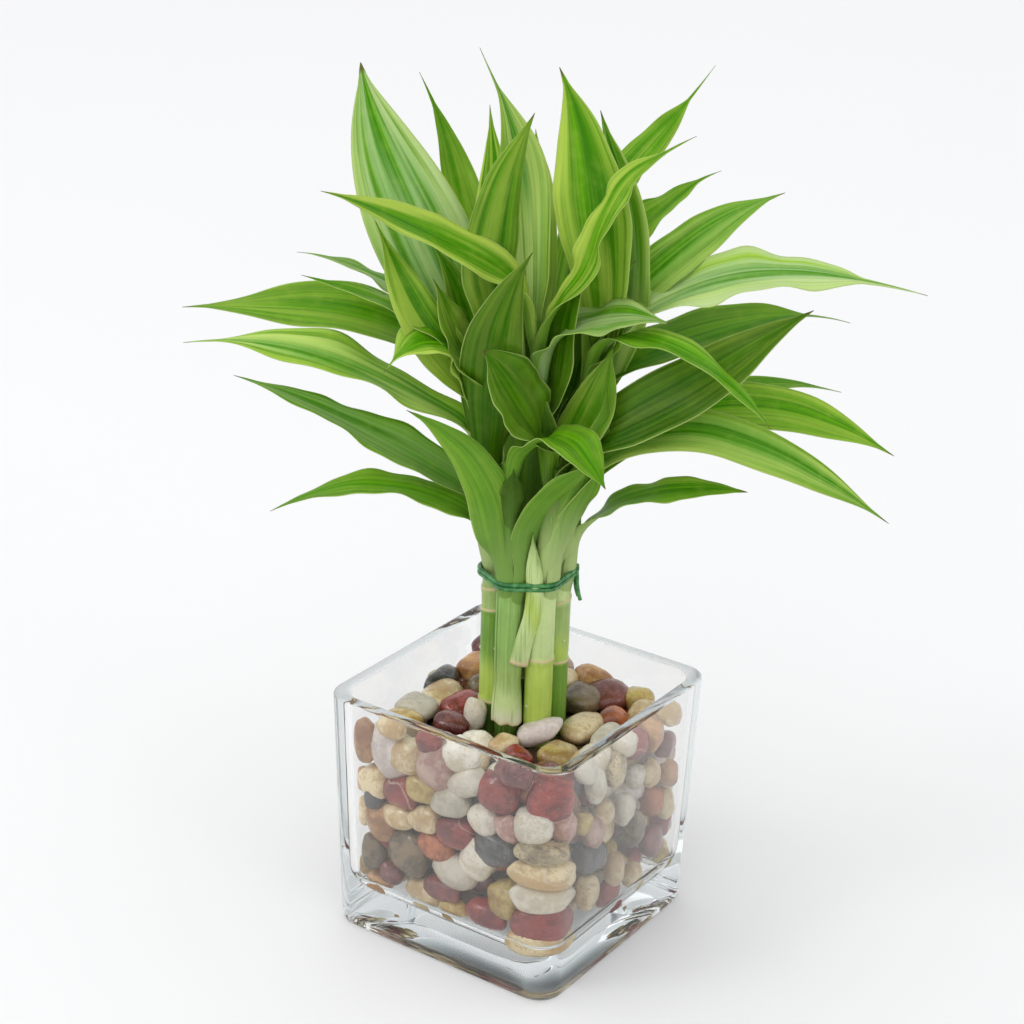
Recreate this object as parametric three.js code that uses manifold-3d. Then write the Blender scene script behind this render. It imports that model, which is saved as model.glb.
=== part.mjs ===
// A lucky bamboo: seven cut stalks, each with a leafy shoot, tied with green wire and standing in pebbles
// in a square glass vase. Millimetres, +Z up, origin at the middle of the vase's base.
// The vase's front corner looks toward +X, -Y: the left front wall is at -Y, the right front wall at +X.
import * as THREE from "three";
import Module from "manifold-3d";
import { mergeVertices } from "three/addons/utils/BufferGeometryUtils.js";

const wasm = await Module();
wasm.setup();
const rad = THREE.MathUtils.degToRad;
const GAP = 0.3;

// Vase
const RIM_HALF = 50;
const BASE_HALF = 47.4;
const VASE_HEIGHT = 93.5;
const WALL = 4.6;
const FLOOR = 15;
const CORNER = 9;
const CORNER_SHRINK = 0.7;
const CORNER_MIN = 2;
const BEVEL = 1.5;
const FLOOR_ROUND = 8;
const CORNER_STEPS = 4;

// Pebbles
const BED_BOTTOM = FLOOR + GAP;
const CORE_TOP = 80;
const CORE_INSET = 3;
const TOP_STONE_Z = 78.5;
const TOP_STONE_HALF = 5;
const STONE_FLATNESS = 0.75;
const STONE_DEPTH_MIN = 3.6;
const STONE_DEPTH_MAX = 6;
const WELL_BOTTOM = 19.7;

// Stalks: the middle of the bundle, the ring of six round the seventh, and their sizes
const BUNDLE = [1, 0.5];
const RING = 10.8;
const RING_ANGLE = { a: 214, b: 274, c: 334, d: 34, f: 94, g: 154 };
const STALK_RADIUS = 4.95;
const STALK_BOTTOM = 20;
const STALK_TOP = 131;
const STALK_SIDES = 9;
const NODE_RADIUS = 5.2;
const NODE_HALF = 1.2;
const NODE_HEIGHTS = { a: [88, 121], b: [106], c: [108], d: [102, 125], e: [98], f: [115], g: [94, 124] };
const FOOT = { z: 84, radius: 5.5, half: 3 };

// Shoots
const SHOOT_BOTTOM = STALK_TOP + GAP;
const SHOOT_RADIUS = 4.9;
const SHOOT_TIP_RADIUS = 1.7;
const TAPER_START = 140;
const ABOVE_LAST_LEAF = 14;
const FAN = 0.12;

// Tie
const TIE_Z = 137.5;
const WIRE_RADIUS = 0.65;
const WIRE_SIDES = 6;
const WIRE_CLEARANCE = 0.5;
const TURN_PITCH = 1.7;
const STOPS_PER_STEM = 3;
const STOPS_PER_TURN = 6 * STOPS_PER_STEM;
const KNOT_LENGTH = 8;
const KNOT_STEPS = 10;
const KNOT_TWIST = 1.25;
const KNOT_HALF_WIDTH = 0.7;
const KNOT_DRIFT = 1.5;
const TAIL_SPREAD = 2.4;
const TAIL_FROM = 0.7;

// Leaves. A leaf leaves its shoot upright in a sheath, bends out and then follows an arch.
const SHEATH = 16;
const BEND = 22;
const SHEATH_RISE = 84;
const LEAF_START = 3.2;
const ROOT = 12;
const ROOT_CUP = 30;
const LEAF_THICKNESS = 0.7;
const HEADING_ZERO = 34;
const WAVES = 2.2;
const CUP = [[0, 95], [0.15, 70], [0.4, 22], [1, 12]];
const SHEATH_WIDTH = 0.42;
const WIDEN_FROM = 0.12;
const WIDEST_AT = 0.58;
const TIP_POWER = 1.8;
const TIP_WIDTH = 0.04;
const LEAF_STEPS = 240;
const BLADE_STEPS = 4;
const ACROSS = 2;

// Each row: height of the leaf's base, length, width, heading, rise at the bend, rise at the tip, roll,
// height of the wave along its edges, turn of the heading along the leaf. Headings count from the right of
// the front corner's view, 90 is away to the back, 180 is left and -90 is toward the front corner.
const LEAVES = {
  a: [
    [134, 100, 14, 180, 28, -36, -20, 1, 0],
    [137, 123, 18, 185, 44, 15, -25, 1, 0],
    [162, 136, 20, 180, 40, -5, -16, 3, 0],
    [186, 92, 16, 175, 50, 8, -15, 0.5, 0],
    [176, 96, 17, 185, 58, 64, -60, 0, 0],
    [190, 112, 16, 16, 98, 74, -84, 0, 0],
    [164, 96, 18, -52, 100, 58, -40, 0, 0],
    [186, 66, 22, -175, 92, -75, -20, 0, 0],
  ],
  b: [
    [134, 86, 20, -165, 82, 30, 60, 0, 0],
    [186, 84, 26, -62, 84, -88, -20, 0, 0],
    [168, 68, 15, -46, 56, -62, 10, 0, 0],
    [134, 68, 16, -75, 76, 46, -10, 0, 0],
  ],
  c: [
    [153, 126, 26, -10, 42, 34, 45, 0, 0],
    [192, 108, 13, -35, 50, -60, 20, 0, 0],
    [149, 146, 20, -15, 45, -38, 20, 0, 0],
    [136, 90, 14, -5, 36, -8, 15, 0, 0],
    [158, 70, 20, 0, 72, 72, 60, 0, 0],
    [140, 72, 14, -20, 66, 84, -60, 0, 0],
    [134, 62, 17, -25, 74, 45, -40, 0, 0],
  ],
  d: [
    [190, 131, 27, 0, 80, 120, 60, 0, 0],
    [176, 128, 24, 20, 72, 108, 50, 0, 0],
    [201, 101, 20, 10, 50, 20, 30, 0, 0],
    [197, 140, 22, 0, 46, -22, 25, 1, 0],
    [179, 122, 22, 15, 50, -20, 15, 0, 0],
    [150, 144, 22, 10, 44, -40, 10, 0, 0],
  ],
  e: [
    [213, 104, 18, 200, 46, 14, -40, 0, 0],
    [190, 130, 20, 100, 88, 64, -60, 0, 60],
    [212, 102, 15, -30, 80, 22, 60, 0, 0],
    [199, 74, 16, -30, 58, -20, 15, 0, 0],
    [196, 104, 16, 92, 60, 40, 0, 0, 0],
  ],
  f: [
    [226, 96, 14, 35, 50, 44, 30, 0, 0],
    [212, 90, 14, 30, 50, 12, 30, 0, 0],
    [141, 138, 14, 20, 40, -12, 15, 0, 0],
    [150, 120, 18, 60, 42, -10, 0, 1, 0],
    [165, 120, 20, 90, 45, -15, 0, 1, 0],
    [185, 118, 18, 80, 62, 20, 0, 0, 0],
  ],
  g: [
    [170, 144, 25, 175, 42, -12, -18, 1, 0],
    [182, 108, 14, 165, 58, -5, -10, 0, 0],
    [176, 80, 15, 170, 68, 60, -60, 0, 0],
    [170, 148, 33, 168, 58, 77, -70, 0, 0],
    [190, 122, 14, 128, 67, 58, -50, 0, 0],
    [186, 112, 14, 150, 84, 88, -60, 0, 0],
    [150, 122, 18, 120, 42, -10, 0, 1, 0],
    [160, 130, 18, 100, 55, 10, 0, 0, 0],
  ],
};

// Stones against the left front wall: along X, height, half width, half height, tilt.
const LEFT_WALL = [
  [-36, 76, 5, 9, 0], [-26, 75, 8, 11, 20], [-19, 75, 7.5, 7, 0], [-6, 75, 8, 11, 0], [5, 84, 8, 6, 0],
  [8, 74, 9, 5.5, 35], [20, 74, 8.5, 8, 0], [34, 74, 8, 8.5, 40], [-33, 60, 6.5, 7, 0], [-21, 60, 8, 7, 0],
  [-11, 65, 7, 5.5, 0], [1, 64, 9, 5.5, 25], [15, 62, 6.5, 6, 0], [26, 63, 5, 6, 45], [37, 60, 8, 6, 20],
  [-30, 45, 7, 8.5, 0], [-21, 50, 7, 4.5, 0], [-10, 53, 7, 5, 20], [3, 52, 8.5, 6, 15], [20, 52, 10, 7, 0],
  [37, 48, 9, 6, 0], [-18, 36, 9, 9.5, 0], [-5, 43, 8, 5.5, 0], [-32, 31, 5, 7, 0], [13, 45, 7.5, 9, -25],
  [3, 36, 10, 6.5, -15], [33, 34, 10, 8, 0], [24, 33, 7, 7, 0], [-2, 27, 9, 4.5, 0], [17, 23, 9, 6, 0],
  [-10, 22, 8, 5.5, 0], [3, 21, 6, 4, 0], [-24, 25, 5, 4.5, 0], [-30, 20, 6, 4, 0], [32, 21, 9, 5.5, 0],
  [-8, 85, 5, 4, 0], [-25, 85, 6, 4, 0], [28, 85, 8, 5, 0],
];

// Stones against the right front wall: along Y, height, half width, half height.
const RIGHT_WALL = [
  [-33, 78, 7, 8], [-15, 73, 5, 7.3], [-4, 75, 4.3, 7.5], [11, 78, 5.6, 6.3], [31, 70, 4.5, 5.2],
  [33, 81, 5.5, 4.5], [22, 62, 4.2, 6], [34, 56, 3.5, 5.5], [11, 65, 4, 5], [5, 55, 4.6, 6],
  [34, 43, 3.5, 6.3], [-14, 54, 5.6, 6.3], [14, 43, 4.2, 7], [-14, 44, 8, 7], [2, 31, 5, 7],
  [26, 31, 5, 7], [15, 22, 4.5, 5.6], [-15, 30, 5, 7.4], [-1, 21, 5.6, 6.3], [35, 21, 3.5, 4.3],
  [-22, 62, 4, 4], [-9, 60, 4.5, 5], [-34, 62, 6, 7], [-34, 48, 6, 6], [-34, 34, 7, 7], [-32, 22, 7, 5],
  [21, 78, 5, 6], [2, 82, 5, 5], [-22, 82, 5, 5],
];

// Stones of the top layer: X, Y, half sizes along X and Y.
const TOP_LAYER = [
  [-38, 35, 4, 7], [-34, 20, 6, 9], [-36, 3, 5, 9], [-31, -5, 7.5, 11], [-33, -17, 8, 8],
  [-31, -28, 9, 5], [-20, -6, 7, 10], [-16, -21, 7, 7], [-1, -24, 7, 5], [8, -21, 5, 6],
  [18, -25, 6, 4], [-12, -33, 8, 6], [4, -34, 8, 6], [20, -35, 7, 6], [27, -15, 7, 8],
  [33, -28, 7, 7], [22, 9, 7, 11], [11, 25, 8, 9], [8, 38, 9, 6], [17, 33, 9, 9],
  [28, 20, 5, 6], [27, 37, 6, 6], [34, 30, 5, 7], [34, 7, 5, 8], [-8, 37, 6, 6],
  [-1, 30, 6, 6], [-25, 8, 6, 7], [-22, 33, 7, 7], [-14, 24, 7, 7], [36, -8, 5, 7],
];

// Solids from triangles, and triangles from solids

function solidFrom(geometry) {
  const bare = geometry.clone();
  bare.deleteAttribute("normal");
  bare.deleteAttribute("uv");
  const merged = mergeVertices(bare);
  const vertProperties = new Float32Array(merged.attributes.position.array);
  const triVerts = new Uint32Array(merged.index.array);
  return new wasm.Manifold(new wasm.Mesh({ numProp: 3, vertProperties, triVerts }));
}

function geometryFrom(solid) {
  const mesh = solid.getMesh();
  const geometry = new THREE.BufferGeometry();
  geometry.setAttribute("position", new THREE.BufferAttribute(new Float32Array(mesh.vertProperties), 3));
  geometry.setIndex(Array.from(mesh.triVerts));
  return geometry;
}

function union(solids) {
  return solids.reduce((whole, next) => whole.add(next));
}

function largestPiece(solid) {
  const pieces = solid.decompose();
  return pieces.reduce((best, next) => (next.volume() > best.volume() ? next : best));
}

// A closed body through rings of points that run counter-clockwise seen from the end of the last ring.
function loft(rings) {
  const count = rings[0].length;
  const position = rings.flat().flatMap((point) => [point.x, point.y, point.z]);
  const index = [];
  for (let i = 0; i + 1 < rings.length; i++) {
    for (let j = 0; j < count; j++) {
      const low = i * count + j;
      const next = i * count + ((j + 1) % count);
      index.push(low, next, next + count, low, next + count, low + count);
    }
  }
  const last = (rings.length - 1) * count;
  for (let j = 1; j + 1 < count; j++) {
    index.push(0, j + 1, j, last, last + j, last + j + 1);
  }
  const geometry = new THREE.BufferGeometry();
  geometry.setAttribute("position", new THREE.Float32BufferAttribute(position, 3));
  geometry.setIndex(index);
  return geometry;
}

function circle(centre, radius, sides) {
  return Array.from({ length: sides }, (_, j) => {
    const angle = (2 * Math.PI * j) / sides;
    return new THREE.Vector3(centre.x + radius * Math.cos(angle), centre.y + radius * Math.sin(angle), centre.z);
  });
}

// Vase: rings of a rounded square up the outside, over the rim and down the inside

function roundedSquare(half, corner, z) {
  const points = [];
  for (let quarter = 0; quarter < 4; quarter++) {
    for (let step = 0; step <= CORNER_STEPS; step++) {
      const angle = (Math.PI / 2) * (quarter + step / CORNER_STEPS);
      const centreAngle = (Math.PI / 2) * quarter + Math.PI / 4;
      const reach = (half - corner) * Math.SQRT2;
      points.push(new THREE.Vector3(
        reach * Math.cos(centreAngle) + corner * Math.cos(angle),
        reach * Math.sin(centreAngle) + corner * Math.sin(angle),
        z,
      ));
    }
  }
  return points;
}

function outerHalf(z) {
  return BASE_HALF + ((RIM_HALF - BASE_HALF) * z) / VASE_HEIGHT;
}

function innerHalf(z) {
  return outerHalf(z) - WALL;
}

// The rounded square that lies `inset` inside the vase's outer face at height z.
function insetRing(inset, z) {
  return roundedSquare(outerHalf(z) - inset, Math.max(CORNER_MIN, CORNER - inset * CORNER_SHRINK), z);
}

function vaseGeometry() {
  const rim = WALL / 2;
  const rings = [
    insetRing(BEVEL, 0),
    insetRing(0, BEVEL),
    insetRing(0, VASE_HEIGHT - rim),
  ];
  for (const degrees of [30, 60, 90, 120, 150]) {
    const angle = rad(degrees);
    rings.push(insetRing(rim * (1 - Math.cos(angle)), VASE_HEIGHT - rim * (1 - Math.sin(angle))));
  }
  rings.push(insetRing(WALL, VASE_HEIGHT - rim));
  for (const degrees of [0, 30, 60, 90]) {
    const angle = rad(degrees);
    rings.push(insetRing(WALL + FLOOR_ROUND * (1 - Math.cos(angle)), FLOOR + FLOOR_ROUND * (1 - Math.sin(angle))));
  }
  return loft(rings);
}

// Stalks

function bundlePoint(name, z, spread = 0) {
  const point = new THREE.Vector3(BUNDLE[0], BUNDLE[1], z);
  if (name === "e") {
    return point;
  }
  const angle = rad(RING_ANGLE[name]);
  const radius = RING + spread;
  return point.add(new THREE.Vector3(radius * Math.cos(angle), radius * Math.sin(angle), 0));
}

function stalkProfile(name) {
  const points = [[0, STALK_BOTTOM], [STALK_RADIUS, STALK_BOTTOM]];
  for (const z of NODE_HEIGHTS[name]) {
    if (name === "b") {
      points.push([STALK_RADIUS, FOOT.z - FOOT.half], [FOOT.radius, FOOT.z], [STALK_RADIUS, FOOT.z + FOOT.half]);
    }
    points.push([STALK_RADIUS, z - NODE_HALF], [NODE_RADIUS, z], [STALK_RADIUS, z + NODE_HALF]);
  }
  points.push([STALK_RADIUS, STALK_TOP], [0, STALK_TOP]);
  return points.map(([radius, z]) => new THREE.Vector2(radius, z));
}

function stalkGeometry(name) {
  const geometry = new THREE.LatheGeometry(stalkProfile(name), STALK_SIDES);
  geometry.rotateX(Math.PI / 2);
  const place = bundlePoint(name, 0);
  geometry.translate(place.x, place.y, 0);
  return geometryFrom(solidFrom(geometry));
}

// Pebble bed: stones on a core, pressed against the glass, with one scalloped well for the stalks

function stone(centre, halves, turn, tilt) {
  const geometry = new THREE.IcosahedronGeometry(1, 0);
  geometry.scale(halves[0], halves[1], halves[2]);
  geometry.rotateY(tilt);
  geometry.rotateZ(turn);
  geometry.translate(centre[0], centre[1], centre[2]);
  return solidFrom(geometry);
}

// How far a stone reaches from the glass: a pebble is a little flatter than it is high and wide.
function stoneDepth(halfWidth, halfHeight) {
  return THREE.MathUtils.clamp(STONE_FLATNESS * Math.min(halfWidth, halfHeight), STONE_DEPTH_MIN, STONE_DEPTH_MAX);
}

function wallStone(along, z, halfWidth, halfHeight, tilt, turn) {
  const depth = stoneDepth(halfWidth, halfHeight);
  const away = innerHalf(z) - GAP - depth;
  const x = along * Math.cos(turn) + away * Math.sin(turn);
  const y = along * Math.sin(turn) - away * Math.cos(turn);
  return stone([x, y, z], [halfWidth, depth, halfHeight], turn, rad(-tilt));
}

// The room that the vase leaves for the bed: its round-edged floor and its walls, a gap inside the glass.
function cavityGeometry() {
  const rings = [90, 60, 30, 0].map((degrees) => {
    const angle = rad(degrees);
    const inset = WALL + GAP + FLOOR_ROUND * (1 - Math.cos(angle));
    return insetRing(inset, BED_BOTTOM + FLOOR_ROUND * (1 - Math.sin(angle)));
  });
  rings.push(insetRing(WALL + GAP, VASE_HEIGHT));
  return loft(rings);
}

function wellSolid() {
  const names = Object.keys(RING_ANGLE);
  const heights = [WELL_BOTTOM, VASE_HEIGHT];
  const scallops = names.map((name) => {
    const rings = heights.map((z) => circle(bundlePoint(name, z), FOOT.radius + GAP, STALK_SIDES * 2));
    return solidFrom(loft(rings));
  });
  const middle = loft(heights.map((z) => names.map((name) => bundlePoint(name, z))));
  return union([...scallops, solidFrom(middle)]);
}

function pebbleBedGeometry() {
  const core = loft([insetRing(WALL + FLOOR_ROUND, BED_BOTTOM), insetRing(WALL + CORE_INSET, CORE_TOP)]);
  const solids = [solidFrom(core)];
  for (const [along, z, halfWidth, halfHeight, tilt] of LEFT_WALL) {
    solids.push(wallStone(along, z, halfWidth, halfHeight, tilt, 0));
  }
  for (const quarter of [1, 2, 3]) {
    for (const [along, z, halfWidth, halfHeight] of RIGHT_WALL) {
      solids.push(wallStone(along, z, halfWidth, halfHeight, 0, (quarter * Math.PI) / 2));
    }
  }
  for (const [x, y, halfX, halfY] of TOP_LAYER) {
    solids.push(stone([x, y, TOP_STONE_Z], [halfX, halfY, TOP_STONE_HALF], 0, 0));
  }
  const heap = union(solids).intersect(solidFrom(cavityGeometry())).subtract(wellSolid());
  return geometryFrom(largestPiece(heap));
}

// Leaves

function smooth(value) {
  return THREE.MathUtils.smoothstep(value, 0, 1);
}

// Width at a share t of the length, of the widest: narrow at the sheath, widest past the middle, then a point.
function widthShare(t) {
  if (t <= WIDEST_AT) {
    return SHEATH_WIDTH + (1 - SHEATH_WIDTH) * smooth((t - WIDEN_FROM) / (WIDEST_AT - WIDEN_FROM));
  }
  return Math.max(TIP_WIDTH, 1 - ((t - WIDEST_AT) / (1 - WIDEST_AT)) ** TIP_POWER);
}

// Half the angle that the leaf's cross-section bends through: a sheath at the base, almost flat at the tip.
function cupAngle(t) {
  const next = CUP.findIndex(([share]) => share >= t - 1e-9);
  if (next <= 0) {
    return rad(CUP[0][1]);
  }
  const [shareA, angleA] = CUP[next - 1];
  const [shareB, angleB] = CUP[next];
  return rad(angleA + ((t - shareA) / (shareB - shareA)) * (angleB - angleA));
}

function shootPoint(name, z) {
  return bundlePoint(name, z, Math.max(0, z - TIE_Z) * FAN);
}

// The leaf's own axes at a distance along it: tangent, across and up out of the blade.
function leafAxes(leaf, distance) {
  const [, length, , heading, rise, fall, roll, , turn] = leaf;
  const share = Math.max(0, (distance - SHEATH) / (length - SHEATH));
  const bend = smooth((distance - SHEATH) / BEND);
  const elevation = rad(SHEATH_RISE * (1 - bend) + (rise + (fall - rise) * share) * bend);
  const azimuth = rad(HEADING_ZERO + heading + turn * share);
  const level = Math.cos(elevation);
  const tangent = new THREE.Vector3(level * Math.cos(azimuth), level * Math.sin(azimuth), Math.sin(elevation));
  const across = new THREE.Vector3(-Math.sin(azimuth), Math.cos(azimuth), 0);
  across.applyAxisAngle(tangent, rad(roll) * bend);
  const up = tangent.clone().cross(across);
  return { tangent, across, up };
}

function leafStations(length) {
  const start = SHEATH + BEND;
  const blade = Array.from({ length: BLADE_STEPS }, (_, i) => start + ((length - start) * (i + 1)) / BLADE_STEPS);
  return [ROOT, SHEATH + BEND / 3, SHEATH + (2 * BEND) / 3, start, ...blade];
}

// The points of a leaf's upper and under face at each station along it. The first station lies in the stem.
function leafRows(name, leaf) {
  const [base, length, width, heading, , , , wave] = leaf;
  const point = shootPoint(name, base);
  const start = rad(HEADING_ZERO + heading);
  point.x += LEAF_START * Math.cos(start);
  point.y += LEAF_START * Math.sin(start);
  const step = length / LEAF_STEPS;
  let distance = 0;
  return leafStations(length).map((station, row) => {
    while (distance < station - 1e-9) {
      const move = Math.min(step, station - distance);
      point.addScaledVector(leafAxes(leaf, distance + move / 2).tangent, move);
      distance += move;
    }
    const t = distance / length;
    const { across, up } = leafAxes(leaf, distance);
    const middle = row === 0 ? shootPoint(name, base + ROOT) : point;
    const half = row === 0 ? rad(ROOT_CUP) : cupAngle(t);
    const radius = (width * widthShare(t)) / 2 / cupAngle(t);
    const lift = wave * widthShare(t) * Math.sin(2 * Math.PI * WAVES * t);
    return [-1, 1].map((face) => Array.from({ length: ACROSS + 1 }, (_, j) => {
      const side = -1 + (2 * j) / ACROSS;
      const reach = radius + (face * LEAF_THICKNESS) / 2;
      const height = radius - reach * Math.cos(side * half) + lift * side;
      return middle.clone().addScaledVector(up, height).addScaledVector(across, reach * Math.sin(side * half));
    }));
  });
}

// Upper and under face are split into triangles alike, so that a waved blade keeps its thickness.
function leafGeometry(name, leaf) {
  const rows = leafRows(name, leaf);
  const count = ACROSS + 1;
  const position = rows.flat(2).flatMap((point) => [point.x, point.y, point.z]);
  const index = [];
  const at = (row, face, j) => (row * 2 + face) * count + j;
  const quad = (a, b, c, d) => index.push(a, b, c, a, c, d);
  const last = rows.length - 1;
  for (let row = 0; row < last; row++) {
    for (let j = 0; j < ACROSS; j++) {
      const upper = [at(row, 0, j), at(row + 1, 0, j), at(row + 1, 0, j + 1), at(row, 0, j + 1)];
      const [a, b, c, d] = upper.map((corner) => corner + count);
      quad(...upper);
      index.push(a, c, b, a, d, c);
    }
    quad(at(row, 0, 0), at(row, 1, 0), at(row + 1, 1, 0), at(row + 1, 0, 0));
    quad(at(row, 1, ACROSS), at(row, 0, ACROSS), at(row + 1, 0, ACROSS), at(row + 1, 1, ACROSS));
  }
  for (let j = 0; j < ACROSS; j++) {
    quad(at(0, 0, j), at(0, 0, j + 1), at(0, 1, j + 1), at(0, 1, j));
    quad(at(last, 0, j + 1), at(last, 0, j), at(last, 1, j), at(last, 1, j + 1));
  }
  const geometry = new THREE.BufferGeometry();
  geometry.setAttribute("position", new THREE.Float32BufferAttribute(position, 3));
  geometry.setIndex(index);
  return geometry;
}

// Shoots: a stem that leans out of the bundle above the tie, with its leaves grown into it

function stemGeometry(name) {
  const top = Math.max(...LEAVES[name].map(([base]) => base)) + ABOVE_LAST_LEAF;
  const heights = [SHOOT_BOTTOM, TIE_Z, TAPER_START, (TAPER_START + top) / 2, top];
  return loft(heights.map((z) => {
    const taper = Math.max(0, z - TAPER_START) / (top - TAPER_START);
    return circle(shootPoint(name, z), SHOOT_RADIUS + (SHOOT_TIP_RADIUS - SHOOT_RADIUS) * taper, STALK_SIDES);
  }));
}

function shootGeometry(name) {
  const leaves = LEAVES[name].map((leaf) => solidFrom(leafGeometry(name, leaf)));
  return geometryFrom(largestPiece(union([solidFrom(stemGeometry(name)), ...leaves])));
}

// Tie: two turns of wire round the bundle, its ends twisted together

// A point of the wire, counted in stops from the knot: each outer stem has three stops, before, on and past it.
function tiePoint(stop) {
  const stem = Math.floor((stop + 1) / STOPS_PER_STEM);
  const beside = ((stop + 1) % STOPS_PER_STEM) - 1;
  const towards = rad(RING_ANGLE.d + 60 * stem);
  const normal = towards + rad(30 * beside);
  const reach = SHOOT_RADIUS + WIRE_CLEARANCE + WIRE_RADIUS;
  return new THREE.Vector3(
    BUNDLE[0] + RING * Math.cos(towards) + reach * Math.cos(normal),
    BUNDLE[1] + RING * Math.sin(towards) + reach * Math.sin(normal),
    TIE_Z + TURN_PITCH * (stop / STOPS_PER_TURN - 1),
  );
}

// A wire through points, with round sections held upright.
function wireGeometry(points) {
  const rings = points.map((point, i) => {
    const ahead = points[Math.min(i + 1, points.length - 1)];
    const behind = points[Math.max(i - 1, 0)];
    const tangent = ahead.clone().sub(behind).normalize();
    const guide = Math.abs(tangent.z) > 0.9 ? new THREE.Vector3(1, 0, 0) : new THREE.Vector3(0, 0, 1);
    const side = guide.cross(tangent).normalize();
    const up = tangent.clone().cross(side);
    return Array.from({ length: WIRE_SIDES }, (_, j) => {
      const angle = (2 * Math.PI * j) / WIRE_SIDES;
      const offset = side.clone().multiplyScalar(WIRE_RADIUS * Math.cos(angle));
      return point.clone().add(offset).addScaledVector(up, WIRE_RADIUS * Math.sin(angle));
    });
  });
  return loft(rings);
}

function tieGeometry() {
  const turns = Array.from({ length: 2 * STOPS_PER_TURN + 1 }, (_, stop) => tiePoint(stop));
  const root = tiePoint(STOPS_PER_TURN);
  const angle = rad(RING_ANGLE.d);
  const out = new THREE.Vector3(Math.cos(angle), Math.sin(angle), 0);
  const beside = new THREE.Vector3(-out.y, out.x, 0);
  const strands = [0, Math.PI].map((phase) => {
    const points = Array.from({ length: KNOT_STEPS + 1 }, (_, i) => {
      const share = i / KNOT_STEPS;
      const twist = phase - Math.PI / 2 + 2 * Math.PI * KNOT_TWIST * share;
      const closing = Math.max(KNOT_HALF_WIDTH, TURN_PITCH * (1 - 2 * share));
      const reach = closing + TAIL_SPREAD * Math.max(0, share - TAIL_FROM);
      const point = root.clone().addScaledVector(out, KNOT_LENGTH * share);
      point.addScaledVector(beside, reach * Math.cos(twist) - KNOT_DRIFT * share);
      point.z += reach * Math.sin(twist);
      return point;
    });
    return solidFrom(wireGeometry(points));
  });
  return geometryFrom(largestPiece(union([solidFrom(wireGeometry(turns)), ...strands])));
}

// Model

function material(color, roughness, options = {}) {
  return new THREE.MeshStandardMaterial({ color, roughness, metalness: 0, ...options });
}

const glass = material(0xdfe8ea, 0.05, { transparent: true, opacity: 0.35 });
const pebble = material(0xb59f8b, 0.45);
const cane = material(0x6f9a3c, 0.5);
const leafGreen = material(0x4f8a2a, 0.45);
const greenWire = material(0x2f7d4a, 0.5);

const lucky = new THREE.Group();

function addPiece(name, geometry, finish) {
  const mesh = new THREE.Mesh(geometry, finish);
  mesh.name = name;
  lucky.add(mesh);
}

addPiece("vase", vaseGeometry(), glass);
addPiece("pebble_bed", pebbleBedGeometry(), pebble);
for (const name of Object.keys(LEAVES)) {
  addPiece(`stalk_${name}`, stalkGeometry(name), cane);
  addPiece(`shoot_${name}`, shootGeometry(name), leafGreen);
}
addPiece("tie", tieGeometry(), greenWire);

export default lucky;
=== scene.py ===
# A lucky bamboo in a square glass vase of pebbles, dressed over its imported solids.
# Lengths in the tables are millimetres in the part's frame, and MM turns them into the scene's metres.
import itertools
import random
from dataclasses import dataclass
from math import atan2, copysign, cos, exp, hypot, pi, radians, sin, sqrt, tau

import bpy
from mathutils import Matrix, Vector, noise


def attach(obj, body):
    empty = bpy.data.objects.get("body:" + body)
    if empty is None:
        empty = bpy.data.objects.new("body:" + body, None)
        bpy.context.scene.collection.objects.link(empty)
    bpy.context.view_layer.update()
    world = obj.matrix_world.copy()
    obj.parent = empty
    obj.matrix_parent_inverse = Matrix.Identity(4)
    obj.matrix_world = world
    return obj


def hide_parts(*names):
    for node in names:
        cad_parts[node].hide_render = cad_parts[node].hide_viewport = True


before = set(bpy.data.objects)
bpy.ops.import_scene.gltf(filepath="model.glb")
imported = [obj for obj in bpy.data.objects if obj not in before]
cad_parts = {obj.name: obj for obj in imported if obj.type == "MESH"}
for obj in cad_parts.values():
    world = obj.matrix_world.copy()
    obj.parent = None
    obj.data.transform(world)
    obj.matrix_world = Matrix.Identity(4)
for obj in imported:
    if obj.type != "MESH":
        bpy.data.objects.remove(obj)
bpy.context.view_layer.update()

MM = 0.001

# Camera, as fitted to the vase's edges: focal length in pixels of a 1024 pixel frame, then where it stands
FRAME_PIXELS = 1024
FOCAL_PIXELS = 2379.8
SENSOR = 36
CAMERA_AZIMUTH = 34.16
CAMERA_ELEVATION = 23.27
CAMERA_DISTANCE = 825.7
CAMERA_TARGET = (-4.08, -2.77, 159.49)
CAMERA_ROLL = 1.96

# Vase
RIM_HALF = 50
BASE_HALF = 47.4
VASE_HEIGHT = 93.5
WALL = 4.6
FLOOR = 15
CORNER = 9
CORNER_SHRINK = 0.15
CORNER_MIN = 2
FOOT_ROUND = 1.8
FOOT_RIM = 3.6
FOOT_HOLLOW = 1.5
FLOOR_ROUND = 8
RIM_ROUND = 1.7
RIM_SQUARE = 0.62
CORNER_STEPS = 10

# Stalks and shoots
BUNDLE = (1, 0.5)
RING = 10.8
RING_ANGLE = {"a": 214, "b": 274, "c": 334, "d": 34, "f": 94, "g": 154}
STALK_RADIUS = 4.95
STALK_BOTTOM = 20
STALK_TOP = 131
CANE_TOP = 142
CANE_SINK = 1.1
SHOOT_BOTTOM = 131.3
SHOOT_RADIUS = 4.9
SHOOT_TIP_RADIUS = 2.3
TAPER_START = 140
ABOVE_LAST_LEAF = 14
FAN = 0.12
TIE_Z = 137.5

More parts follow.
